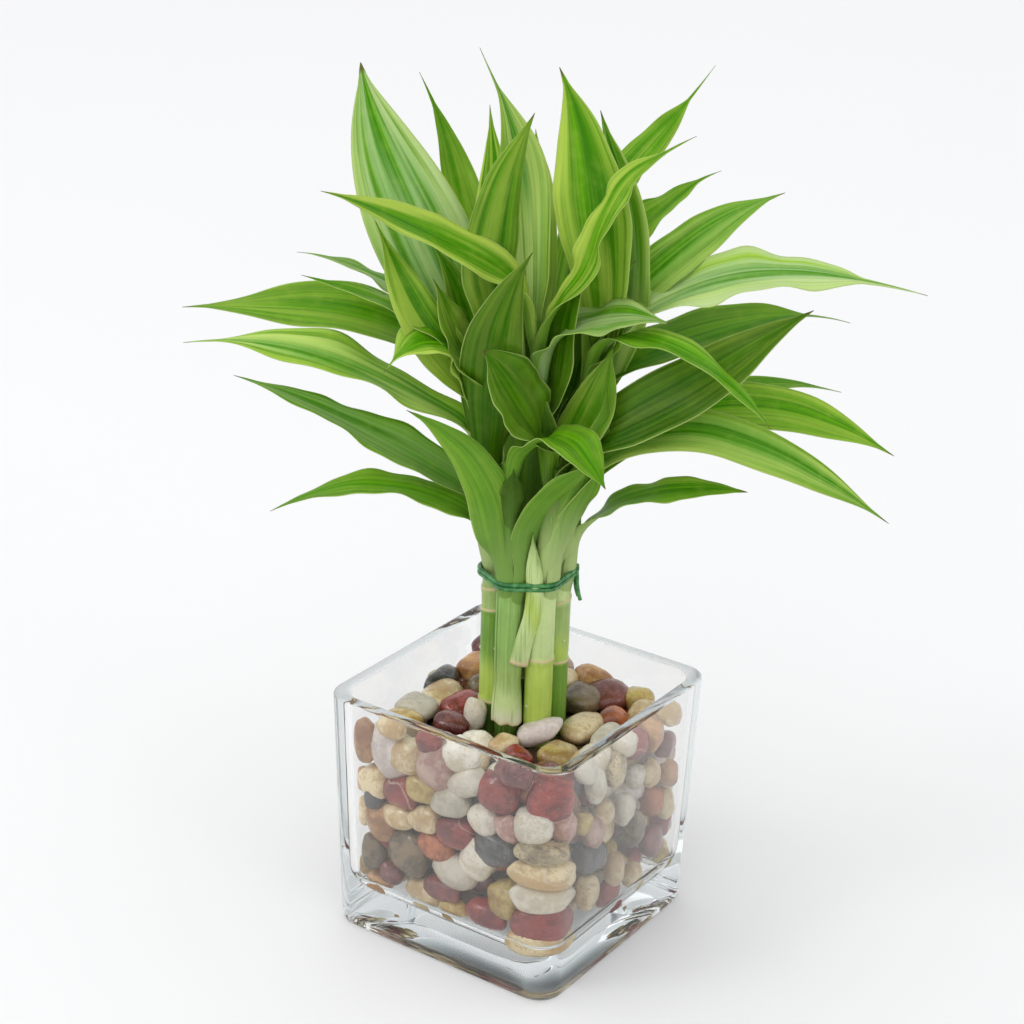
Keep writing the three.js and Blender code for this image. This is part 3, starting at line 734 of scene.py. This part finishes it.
def cane_shape(name):
    """A cane: it swells at each ring, above which it pulls in, and each ring has a tan scar."""
    rings, colours = CANES[name]
    full = STALK_RADIUS - (FRONT_CANE_THINNER if name == "b" else 0)
    heights = {STALK_BOTTOM + CANE_STEP * i for i in range(81)} | {CANE_TOP}
    heights |= {ring[0] + 0.3 * d for ring in rings for d in range(-9, 10)}
    points = []
    skin = []
    marks = []
    for z in sorted(heights):
        centre = bundle_point(name, z)
        for j in range(CANE_SIDES):
            angle = tau * j / CANE_SIDES
            way = direction(angle)
            radius = full - CANE_SINK * smooth((z - STALK_TOP) / (CANE_TOP - STALK_TOP))
            scar = 0.0
            for height, lift, faces in rings:
                gap = z - height - lift * cos(angle - radians(faces))
                radius += RING_SWELL * exp(-((gap + 0.7) / 1.3) ** 2)
                radius += 0.12 * (exp(-(gap / 0.35) ** 2) - exp(-(gap - 1.3) ** 2))
                scar = max(scar, exp(-(gap / SCAR_WIDTH) ** 4))
            wobble = CANE_WOBBLE * noise.noise(Vector((way.x, way.y, z * 0.06)) * 2)
            points.append(centre + (radius + wobble) * way)
            skin.append(blend_colours(colours, z))
            marks.append((0.9 * scar, 0, 0.14))
    return points, ring_faces(len(heights), CANE_SIDES), {"skin": skin, "marks": marks}


def make_canes():
    cane = cane_material("cane", 0.26)
    for name in CANES:
        add_piece(f"cane_{name}", cane, *cane_shape(name), node=f"stalk_{name}", slot="stalk")


def shell(sections):
    """A closed thin sheet from sections: a row of outer points, the inner ones under it, and the looks."""
    points = []
    looks = []
    for outer, inner, shades in sections:
        points.extend((*outer, *reversed(inner)))
        looks.extend(shades + shades[::-1])
    attributes = {"skin": [colour for colour, _ in looks], "marks": [mark for _, mark in looks]}
    return points, ring_faces(len(sections), 2 * len(sections[0][0])), attributes


SHEATH_TURN = 205
SHEATH_SWEEP = 395
SHEATH_BOTTOM = 83.5
SHEATH_TOP = 134
SHEATH_RADIUS = 4.62
SHEATH_LAP = 0.36
SHEATH_HALF = 0.16
SHEATH_COLOURS = ((91, PALE), (102, SAGE), (114, BLUISH))
SKIRT_TOP = 100
SKIRT_FLARE = 0.55


def sheath_shape():
    """The old leaf sheath round the front cane: rolled over itself once, with a ragged papery skirt."""
    across = 56
    rows = 44
    sections = []
    for i in range(rows + 1):
        share = (i / rows) ** 1.3
        outer = []
        inner = []
        shades = []
        for j in range(across + 1):
            way = direction(radians(SHEATH_TURN + SHEATH_SWEEP * j / across))
            edge = SHEATH_BOTTOM + 1.2 * noise.noise(way * 1.6) + 0.25 * noise.noise(way * 6)
            z = lerp(edge, SHEATH_TOP, share)
            flare = 1 - smooth((z - SHEATH_BOTTOM) / (SKIRT_TOP - SHEATH_BOTTOM))
            waist = 0.3 * exp(-((z - 99) / 5) ** 2)
            radius = SHEATH_RADIUS + SHEATH_LAP * j / across + SKIRT_FLARE * flare - waist
            radius += 0.14 * (0.3 + flare) * noise.noise(Vector((way.x * 4, way.y * 4, z * 0.08)))
            centre = bundle_point("b", z)
            outer.append(centre + way * (radius + SHEATH_HALF))
            inner.append(centre + way * (radius - SHEATH_HALF))
            torn = exp(-((z - edge) / 0.9) ** 2)
            shades.append((blend_colours(SHEATH_COLOURS, z), (torn, 0.9 * smooth((92 - z) / 7), 0.22)))
        sections.append((outer, inner, shades))
    return shell(sections)


# The pale sheath that crosses in front of the canes, as distances right, toward the camera and up
CROSSING = (
    (2.4, 15.2, 158), (2.9, 15.6, 150), (3.6, 15.8, 141), (3.9, 15.8, 134), (3.3, 15.8, 126.5),
    (1.8, 15.7, 120), (0.3, 15.6, 114), (-0.8, 15.5, 107.5),
)
CROSSING_HALF = 3.2
CROSSING_THICK = 0.35
CROSSING_WRAP = radians(78)
CROSSING_STEPS = 40
CROSSING_COLOURS = ((0, SAGE), (0.3, PALE), (0.52, LIME), (0.75, PALE), (1, SAGE))
CROSSING_LIP = 0.985


def spline(points, count):
    """Points along a Catmull-Rom curve through the given ones."""
    inside = [Vector(p) for p in points]
    ends = [2 * inside[0] - inside[1], *inside, 2 * inside[-1] - inside[-2]]
    made = []
    for i in range(count + 1):
        at = i / count * (len(points) - 1)
        k = min(int(at), len(points) - 2)
        u = at - k
        a, b, c, d = ends[k:k + 4]
        second = 2 * a - 5 * b + 4 * c - d
        third = 3 * b - a - 3 * c + d
        made.append(0.5 * (2 * b + (c - a) * u + second * u * u + third * u ** 3))
    return made


def crossing_shape():
    """The crossing sheath: a bent strip, cupped round what it lies on, with a turned lip at its foot."""
    path = [facing(*p) for p in spline(CROSSING, CROSSING_STEPS)]
    toward = facing(0, 1, 0)
    sections = []
    for i, point in enumerate(path):
        share = i / CROSSING_STEPS
        along = (path[min(i + 1, CROSSING_STEPS)] - path[max(i - 1, 0)]).normalized()
        across = along.cross(toward).normalized()
        out = across.cross(along).normalized()
        half = CROSSING_HALF * (0.92 + 0.12 * share) * smooth(0.08 + share / 0.3)
        lip = 0.35 * exp(-((share - CROSSING_LIP) / 0.02) ** 2)
        torn = exp(-((share - CROSSING_LIP) / 0.018) ** 4)
        outer = []
        shades = []
        for j in range(17):
            v = -1 + j / 8
            lean = v * CROSSING_WRAP
            rise = 1.9 * (cos(lean) - 1) + 0.1 * noise.noise(Vector((v * 3, share * 5, 2)))
            side = half * sin(lean) / sin(CROSSING_WRAP)
            outer.append(point + across * side + out * (rise + lip))
            colour = blend_colours(CROSSING_COLOURS, share + 0.12 * v)
            shades.append((colour, (torn, 0.35 * smooth((share - 0.8) / 0.2), 0.4)))
        inner = [place - out * CROSSING_THICK - along * 0.01 for place in outer]
        sections.append((outer, inner, shades))
    return shell(sections)


# Small dormant buds: cane, height, where they face by the ring angle, length
BUDS = (
    ("a", 107, 232, 1.5), ("b", 110, 205, 1.8), ("c", 90, 252, 1.1), ("d", 112, -20, 1.2),
    ("g", 104, 190, 1.4),
)
BUD_RINGS = 7
BUD_SIDES = 10
BUD_RADIUS = 0.62


def bud_shape(name, z, angle, length):
    """A pointed scale that stands a little off its cane."""
    way = direction(radians(angle))
    side = Vector((-way.y, way.x, 0))
    root = bundle_point(name, z) + way * (STALK_RADIUS - 0.25)
    points = []
    for i in range(BUD_RINGS):
        share = i / (BUD_RINGS - 1)
        radius = BUD_RADIUS * cos(share * pi / 2) ** 0.8 + 0.03
        middle = root + Vector((0, 0, length * share)) + way * (0.45 * sin(share * pi))
        for j in range(BUD_SIDES):
            turned = tau * j / BUD_SIDES
            points.append(middle + radius * (side * cos(turned) + 0.6 * way * sin(turned)))
    return points, ring_faces(BUD_RINGS, BUD_SIDES)


def make_sheaths():
    sheath = cane_material("sheath", 0.36)
    add_piece("sheath_front", sheath, *sheath_shape(), node="stalk_b", slot="stalk")
    add_piece("sheath_crossing", sheath, *crossing_shape(), node="stalk_b", slot="stalk")
    buds = Parts("skin", "marks")
    for bud in BUDS:
        buds.add(*bud_shape(*bud), skin=PALE, marks=(0.25, 0.6, 0.2))
    buds.piece("buds", sheath, slot="stalk")


# Leaves

@dataclass
class Leaf:
    """One leaf of a shoot: where its sheath begins, its size, how it leaves and bends, and its colour.

    Angles are degrees. rise is how steeply it climbs at its foot and at its tip, with (share of the blade,
    climb) pairs between them where it doesn't bend evenly. A leaf without a seed of its own takes the next
    number.
    """
    base: float
    length: float
    width: float
    heading: float
    roll: float
    rise: tuple
    yellow: float = 0.3
    dark: float = 0.1
    turn: float = 0
    wave: float = 0.8
    tail: float = 0.1
    widest: float = 0.5
    twist: float = 0
    tip_turn: float = 0
    tip_roll: float = 0
    sheath: float = 16
    clasp: float = 112
    meander: float = 5
    seed: int = 0
    matte: float = 1
    # How much pale sheen, a glossy reflection painted into the colour, the blade gets
    pale: float = 0


LEAVES = {}
LEAVES["a"] = (
    Leaf(137, 123, 18, 185, -25, (44, 15), 0.2, 0.04, pale=0.3),
    Leaf(162, 132, 20, 180, -16, (40, -5), 0.8, -0.15, wave=2, tail=0.16, pale=0.25),
    Leaf(186, 92, 16, 175, -15, (50, 8), 0.35, 0, wave=1.2, tail=0.16),
    Leaf(176, 96, 17, 185, -60, (58, 64), 0.7, 0),
    Leaf(190, 112, 20, 16, -84, (104, (0.35, 99), (0.55, 78), 68), 0.5, 0.15, tail=0.07, matte=0),
    Leaf(158, 108, 22, -108, 2, (66, (0.25, 84), (0.5, 77), (0.75, 66), 56), 0.3, 0.45, turn=76, twist=-44,
         meander=1, matte=0),
    Leaf(186, 60, 16, -175, -40, (80, 60), 0.6),
    Leaf(169, 84, 19, 174, -38, (84, (0.3, 82), (0.5, 60), (0.66, 10), (0.82, -30), -40), 0.9, -0.1,
         turn=54, wave=1.2, tail=0.12, widest=0.68, tip_roll=60, meander=2, seed=64),
)
LEAVES["b"] = (
    Leaf(130, 108, 14, 180, -20, (68, (0.2, 60), (0.36, 24), (0.6, 2), (0.8, -20), -26), 0.15, wave=1,
         sheath=6, clasp=60, meander=2),
    Leaf(128, 92, 17, -130, 84, (82, (0.3, 74), (0.55, 62), (0.8, 44), 28), 0.2, 0, turn=-38, widest=0.36,
         sheath=10, clasp=75, meander=2),
    Leaf(156, 27, 7, -84, 0, (88, 86), 0.1, 0.6, sheath=6, clasp=60, meander=0),
    Leaf(170, 64, 17, -44, -14, (30, (0.22, 28), (0.42, 38), (0.58, 0), (0.76, -38), -46), 0.1, wave=0.5,
         tail=0.06, widest=0.64, twist=40, sheath=8, meander=0),
    Leaf(126, 76, 14, -34, -30, (84, (0.25, 80), (0.45, 60), (0.7, 48), 40), 0.1, sheath=12, clasp=62,
         meander=1),
)
LEAVES["c"] = (
    Leaf(158, 125, 23, -10, 45, (42, 34), 0.25, 0.5, tail=0.06),
    Leaf(168, 65, 25, -156, -60, (84, (0.15, 68), (0.4, 58), (0.85, 56), 40), 0.2, 0.4, tail=0.03,
         widest=0.66, meander=0, matte=0.2),
    Leaf(138, 158, 17, -12, 38, (66, (0.2, 54), (0.4, 16), (0.6, -10), (0.8, -24), -34), 0.5, 0, tail=0.08,
         widest=0.6, meander=3, pale=0.15),
    Leaf(158, 70, 20, 0, 60, (72, 72), 0.3, 0.25),
    Leaf(128, 87, 14, -22, -45, (84, (0.2, 80), (0.45, 67), (0.7, 78), 86), 0.1, 0.15, sheath=10, clasp=65,
         meander=1),
)
LEAVES["d"] = (
    Leaf(190, 128, 27, 0, 60, (80, (0.25, 90), (0.5, 102), (0.75, 108), 112), 0.8, 0, tail=0.08,
         widest=0.6),
    Leaf(176, 128, 24, 20, 50, (72, 108), 0.7, -0.15, pale=0.3),
    Leaf(205, 99, 17, 16, 38, (50, 20), 0.35, -0.05, pale=0.15),
    Leaf(196, 58, 16, 0, 50, (96, (0.4, 92), (0.7, 66), 50), 0.4, 0, seed=61),
    Leaf(197, 139, 25, -8, 28, (45, -14), 1, -0.15, wave=1.8, tail=0.3, pale=0.68),
    Leaf(195, 106, 13, -56, 6, (64, (0.2, 32), (0.35, 6), (0.6, -12), (0.8, -30), -46), 0.3, 0, turn=30,
         wave=1.3, widest=0.6, meander=1, seed=65),
    Leaf(179, 122, 22, 15, 15, (50, -20), 0.15, 0.2, wave=1.8, tail=0.25),
    Leaf(140, 152, 19, 6, 38, (66, (0.2, 50), (0.42, 14), (0.6, -6), (0.8, -20), -28), 0.4, -0.05,
         tail=0.07, widest=0.6, meander=3),
    Leaf(130, 88, 14, -14, -28, (70, (0.15, 67), (0.35, 42), (0.5, 26), (0.75, 12), -2), 0.3, 0, tail=0.06,
         twist=80, sheath=6, clasp=80, meander=1),
)
LEAVES["e"] = (
    Leaf(215, 105, 18, 200, -40, (46, 14), 0.9, 0.05, tail=0.12),
    Leaf(190, 134, 20, 100, -60, (88, 64), 0.9, -0.05, turn=60, tail=0.22, tip_turn=70, pale=0.3),
    Leaf(210, 112, 13, -34, 60, (52, (0.25, 52), (0.42, 74), (0.6, 64), (0.78, 40), 30), 0.6, 0, wave=1.4,
         tail=0.2, sheath=12, meander=2),
    Leaf(168, 90, 17, -20, 50, (82, 76), 0.2, 0.3, seed=62),
    Leaf(150, 66, 20, -90, 0, (86, 84), 0.1, 0.4, seed=63),
    Leaf(196, 75, 20, -30, 24, (60, -10), 0.4, 0, wave=1.2, pale=0.45),
    Leaf(196, 104, 16, 92, 0, (60, 40), 0.4, 0.15),
)
LEAVES["f"] = (
    Leaf(228, 100, 13, 35, 30, (48, 42), 0.3, 0, wave=1.8, tail=0.3),
    Leaf(214, 89, 14, 30, 30, (50, 12), 0.3, 0, wave=1.5, tail=0.2),
    Leaf(141, 138, 14, 20, 15, (40, -12), 0.2),
    Leaf(150, 120, 18, 60, 0, (42, -10), wave=1.4),
    Leaf(165, 120, 20, 90, 0, (45, -15), 0.4, wave=1.4),
    Leaf(185, 118, 18, 80, 0, (62, 20), 0.5),
    Leaf(160, 96, 22, -4, 58, (84, 76), 0.2, 0.3, seed=66),
    Leaf(176, 92, 15, 0, 62, (90, 86), 0.3, 0.3, seed=67),
)
LEAVES["g"] = (
    Leaf(170, 144, 25, 175, -18, (42, -12), 0.4, wave=1.2),
    Leaf(182, 108, 14, 165, -10, (58, -5), 0.3, 0, wave=1.6, tail=0.2, pale=0.5),
    Leaf(176, 80, 15, 170, -60, (68, 60), 0.5),
    Leaf(170, 150, 34, 168, -70, (55, 76), 0.5, -0.15, tail=0.05, widest=0.58, pale=0.6),
    Leaf(190, 122, 15, 128, -50, (67, 58), 0.4, wave=1.2, tail=0.18, tip_turn=30),
    Leaf(186, 112, 16, 150, -60, (84, 88), 0.9, -0.1),
    Leaf(150, 122, 18, 120, 0, (42, -10), wave=1.4),
    Leaf(160, 130, 18, 100, 0, (55, 10), 0.4),
)


def width_share(leaf, t):
    """Width of the blade at t as a share of its widest: narrow sheath, full middle, drawn-out tip."""
    if t <= leaf.widest:
        return SHEATH_WIDTH + (1 - SHEATH_WIDTH) * smooth((t - WIDEN_FROM) / (leaf.widest - WIDEN_FROM))
    end = 1 - leaf.tail / 2
    body = max(0.0, 1 - ((t - leaf.widest) / (end - leaf.widest)) ** 2)
    tail = TAIL_WIDTH * min(1.0, (1 - t) / (1 - end))
    return max(0.01, hypot(body, tail) / hypot(1, TAIL_WIDTH))


def cup_angle(t):
    return radians(knots(CUP, t, ease=lambda share: share))


def leaf_axes(leaf, distance, seed):
    """Tangent, across and up directions of a leaf at a distance along it."""
    share = max(0.0, (distance - leaf.sheath) / (leaf.length - leaf.sheath))
    bend = smooth((distance - leaf.sheath) / BEND)
    tip = smooth((distance / leaf.length - 1 + 2.2 * leaf.tail) / (2.2 * leaf.tail))
    first, *between, last = leaf.rise
    pitch = knots(((0, first), *between, (1, last)), share) if between else lerp(first, last, share)
    pitch += leaf.meander * sin(tau * 1.1 * share + seed * 2.1)
    elevation = radians(lerp(SHEATH_RISE, pitch, bend))
    sway = leaf.meander * bend * sin(tau * 1.3 * share + seed * 1.3)
    azimuth = radians(HEADING_ZERO + leaf.heading + leaf.turn * share + leaf.tip_turn * tip + sway)
    roll = leaf.roll + leaf.twist * share + leaf.tip_roll * tip
    roll += 2 * leaf.meander * sin(tau * 0.9 * share + seed * 3.7)
    tangent = direction(azimuth, elevation)
    across = Vector((-sin(azimuth), cos(azimuth), 0))
    across.rotate(Matrix.Rotation(radians(roll) * bend, 3, tangent))
    return tangent, across, tangent.cross(across)


def stem_radius(name, z):
    return lerp(SHOOT_RADIUS, SHOOT_TIP_RADIUS, max(0.0, z - TAPER_START) / (stem_top(name) - TAPER_START))


def stem_top(name):
    return max(leaf.base for leaf in LEAVES[name]) + ABOVE_LAST_LEAF


def leaf_shape(name, leaf, seed, layer):
    """Points, faces and attributes of one leaf: rings of an upper row and an under row across the blade."""
    out = direction(radians(HEADING_ZERO + leaf.heading))
    wrap = stem_radius(name, leaf.base) - STEM_INSET + SHEATH_GAP + SHEATH_STEP * layer
    point = shoot_point(name, leaf.base) + out * LEAF_START
    cycles = WAVES + 0.9 * sin(seed * 1.9)
    points = []
    place = []
    distance = 0.0
    for i in range(ALONG + 1):
        t = i / ALONG
        while distance < t * leaf.length - 1e-6:
            move = min(leaf.length / (4 * ALONG), t * leaf.length - distance)
            point = point + leaf_axes(leaf, distance + move / 2, seed)[0] * move
            distance += move
        _, across, up = leaf_axes(leaf, distance, seed)
        clasp = 1 - smooth((distance - leaf.sheath * 0.6) / BEND)
        share = width_share(leaf, t)
        half = lerp(cup_angle(t), radians(leaf.clasp), clasp)
        hug = wrap - SHEATH_SINK * (1 - smooth(distance / SHEATH_LEAD))
        radius = lerp(leaf.width * share / 2 / cup_angle(t), hug, clasp)
        middle = point + out * (hug - LEAF_START) * clasp
        free = leaf.wave * RIPPLE * share * (1 - clasp)
        for face in (-1, 1):
            for j in range(ACROSS + 1):
                v = (2 * j / ACROSS - 1) * -face
                thick = lerp(EDGE_HALF, MIDRIB_HALF, (1 - v * v) ** 0.7) * min(1.0, 0.25 + 6 * (1 - t))
                reach = radius + face * thick
                phase = tau * cycles * t + seed * 2.4 + (1.9 if v > 0 else 0)
                ripple = free * v * v * (sin(phase) + 0.35 * sin(2.3 * phase + seed))
                fold = 0.4 * exp(-(v / 0.12) ** 2) * (1 - clasp) * share
                height = radius - reach * cos(v * half) + ripple - fold
                points.append(middle + up * height + across * (reach * sin(v * half)))
                place.append((v, t, leaf.matte * (face + 1) / 2))
    faces = [tuple(reversed(face)) for face in ring_faces(ALONG + 1, 2 * (ACROSS + 1))]
    # The third attribute carries how much pale sheen is painted into the blade as a painted reflection
    look = {"leaf": place, "tint": (leaf.yellow, leaf.dark, seed), "painted_sheen": (leaf.pale, 0, 0)}
    return points, faces, look


def stem_shape(name):
    """A shoot's stem, mostly hidden in the leaves' sheaths."""
    bottom = SHOOT_BOTTOM - 6
    points = []
    for i in range(STEM_RINGS):
        z = bottom + (stem_top(name) - bottom) * i / (STEM_RINGS - 1)
        radius = max(STEM_INSET, stem_radius(name, z) - STEM_INSET)
        for j in range(STEM_SIDES):
            points.append(shoot_point(name, z) + radius * direction(tau * j / STEM_SIDES))
    look = {"leaf": (0.4, 0.3, 1), "tint": (0.2, 0.3, 0), "painted_sheen": (0, 0, 0)}
    return points, ring_faces(STEM_RINGS, STEM_SIDES), look


def make_shoots():
    blade = leaf_material()
    numbers = itertools.count(1)
    for name in "abcdefg":
        from_top = sorted(LEAVES[name], key=lambda leaf: -leaf.base)
        shapes = [stem_shape(name)]
        for leaf in LEAVES[name]:
            shapes.append(leaf_shape(name, leaf, leaf.seed or next(numbers), from_top.index(leaf)))
        parts = Parts("leaf", "tint", "painted_sheen", "foot")
        for points, faces, look in shapes:
            parts.add(points, faces, foot=SHOOT_SKINS[name], **look)
        parts.piece(f"leaves_{name}", blade, node=f"shoot_{name}", slot="leaf")


# Tie

WIRE_RADIUS = 0.78
WIRE_SIDES = 10
WIRE_CLEARANCE = 0.3
WIRE_STEPS = 240
TURN_PITCH = 1.65
END_STEPS = 36
END_RADIUS = WIRE_RADIUS * 0.9


def tube(points, radius):
    """A round tube through points."""
    rings = []
    side = None
    for i, point in enumerate(points):
        tangent = (points[min(i + 1, len(points) - 1)] - points[max(i - 1, 0)]).normalized()
        if side is None:
            side = tangent.orthogonal().normalized()
        side = (side - tangent * side.dot(tangent)).normalized()
        up = tangent.cross(side)
        for j in range(WIRE_SIDES):
            angle = tau * j / WIRE_SIDES
            rings.append(point + radius * (cos(angle) * side + sin(angle) * up))
    return rings, ring_faces(len(points), WIRE_SIDES)


def tie_point(turn):
    """The wire's middle after so many turns from the knot, on the hull of the six outer stems."""
    angle = tau * turn + radians(RING_ANGLE["d"])
    reach = SHOOT_RADIUS + WIRE_CLEARANCE + WIRE_RADIUS
    sixth = pi / 3
    offset = abs((tau * turn + sixth / 2) % sixth - sixth / 2)
    touch = atan2(reach * sin(sixth / 2), RING + reach * cos(sixth / 2))
    if offset > touch:
        far = (RING * cos(sixth / 2) + reach) / cos(sixth / 2 - offset)
    else:
        far = RING * cos(offset) + sqrt(reach ** 2 - (RING * sin(offset)) ** 2)
    return around(angle, far, TIE_Z + TURN_PITCH * (turn - 1))


# The twisted ends of the wire beside the knot, as distances right, toward the camera and up
TIE_ENDS = (
    ((17.2, 0.6, 138.4), (18.2, 1.2, 139.4), (18.6, 1.6, 137), (18.8, 1.7, 133.5), (19.4, 1.8, 130),
     (20.1, 1.8, 127.6)),
    ((17.0, 0.2, 137), (17.9, 0.6, 138.2), (18.1, 0.7, 135.8), (18.2, 0.8, 133), (18.7, 0.9, 130.6),
     (19.3, 1, 128.8)),
    ((17.2, 0.2, 136.6), (18.2, 0.6, 137.2), (18.6, 1.1, 139), (18.5, 1.2, 141)),
)


def make_tie():
    parts = Parts()
    parts.add(*tube([tie_point(2 * i / WIRE_STEPS) for i in range(WIRE_STEPS + 1)], WIRE_RADIUS))
    for end in TIE_ENDS:
        parts.add(*tube([facing(*p) for p in spline(end, END_STEPS)], END_RADIUS))
    parts.piece("tie_wire", wire_material(), node="tie", slot="wire")


# Studio. The floor lies a hair under the vase, because real glass doesn't wet what it stands on
FLOOR_GAP = 0.1
FLOOR_HALF = 6000


def make_floor():
    corners = ((-1, -1), (1, -1), (1, 1), (-1, 1))
    points = [(x * FLOOR_HALF, y * FLOOR_HALF, -FLOOR_GAP) for x, y in corners]
    return add_piece("studio_floor", floor_material(), points, [(0, 1, 2, 3)])


def lamp(kind, name, place, power, **settings):
    """A lamp that looks at the middle of the plant from a place in metres."""
    data = bpy.data.lights.new(name, kind)
    data.energy = power
    for key, value in settings.items():
        setattr(data, key, value)
    made = bpy.data.objects.new(name, data)
    made.location = Vector(place)
    made.rotation_euler = (Vector((0, 0, 0.15)) - Vector(place)).to_track_quat("-Z", "Y").to_euler()
    bpy.context.scene.collection.objects.link(made)


def make_light():
    """A pale sky that dims toward the zenith, and three soft lamps."""
    n = Nodes("studio_world", bpy.data.worlds, "Background", "World Output")
    up = n.split(n.node("TexCoord").outputs["Generated"])[2]
    n.set(Color=(0.985, 0.99, 1), Strength=n.step(up, 0.1, 0.85, 0.93, 0.77))
    bpy.context.scene.world = n.owner
    lamp("SUN", "key", (-0.4, -0.9, 2.1), 0.9, angle=radians(90))
    lamp("AREA", "window", (-0.9, -1.1, 1.5), 3.5, shape="SQUARE", size=0.4)
    lamp("AREA", "side", (1.6, -0.2, 1.0), 1.5, shape="SQUARE", size=0.5)


def make_camera():
    azimuth = radians(CAMERA_AZIMUTH)
    back = direction(azimuth - pi / 2, radians(CAMERA_ELEVATION))
    right = direction(azimuth)
    turned = Matrix((right, back.cross(right), back)).transposed()
    turned @= Matrix.Rotation(radians(CAMERA_ROLL), 3, "Z")
    data = bpy.data.cameras.new("camera")
    data.sensor_width = SENSOR
    data.lens = SENSOR * FOCAL_PIXELS / FRAME_PIXELS
    camera = bpy.data.objects.new("camera", data)
    place = metres(Vector(CAMERA_TARGET) + back * CAMERA_DISTANCE)
    camera.matrix_world = Matrix.Translation(place) @ turned.to_4x4()
    bpy.context.scene.collection.objects.link(camera)
    bpy.context.scene.camera = camera


make_camera()
make_light()
bpy.context.scene.view_settings.view_transform = "Standard"
make_vase()
make_pebbles()
make_canes()
make_sheaths()
make_shoots()
make_tie()
make_floor()
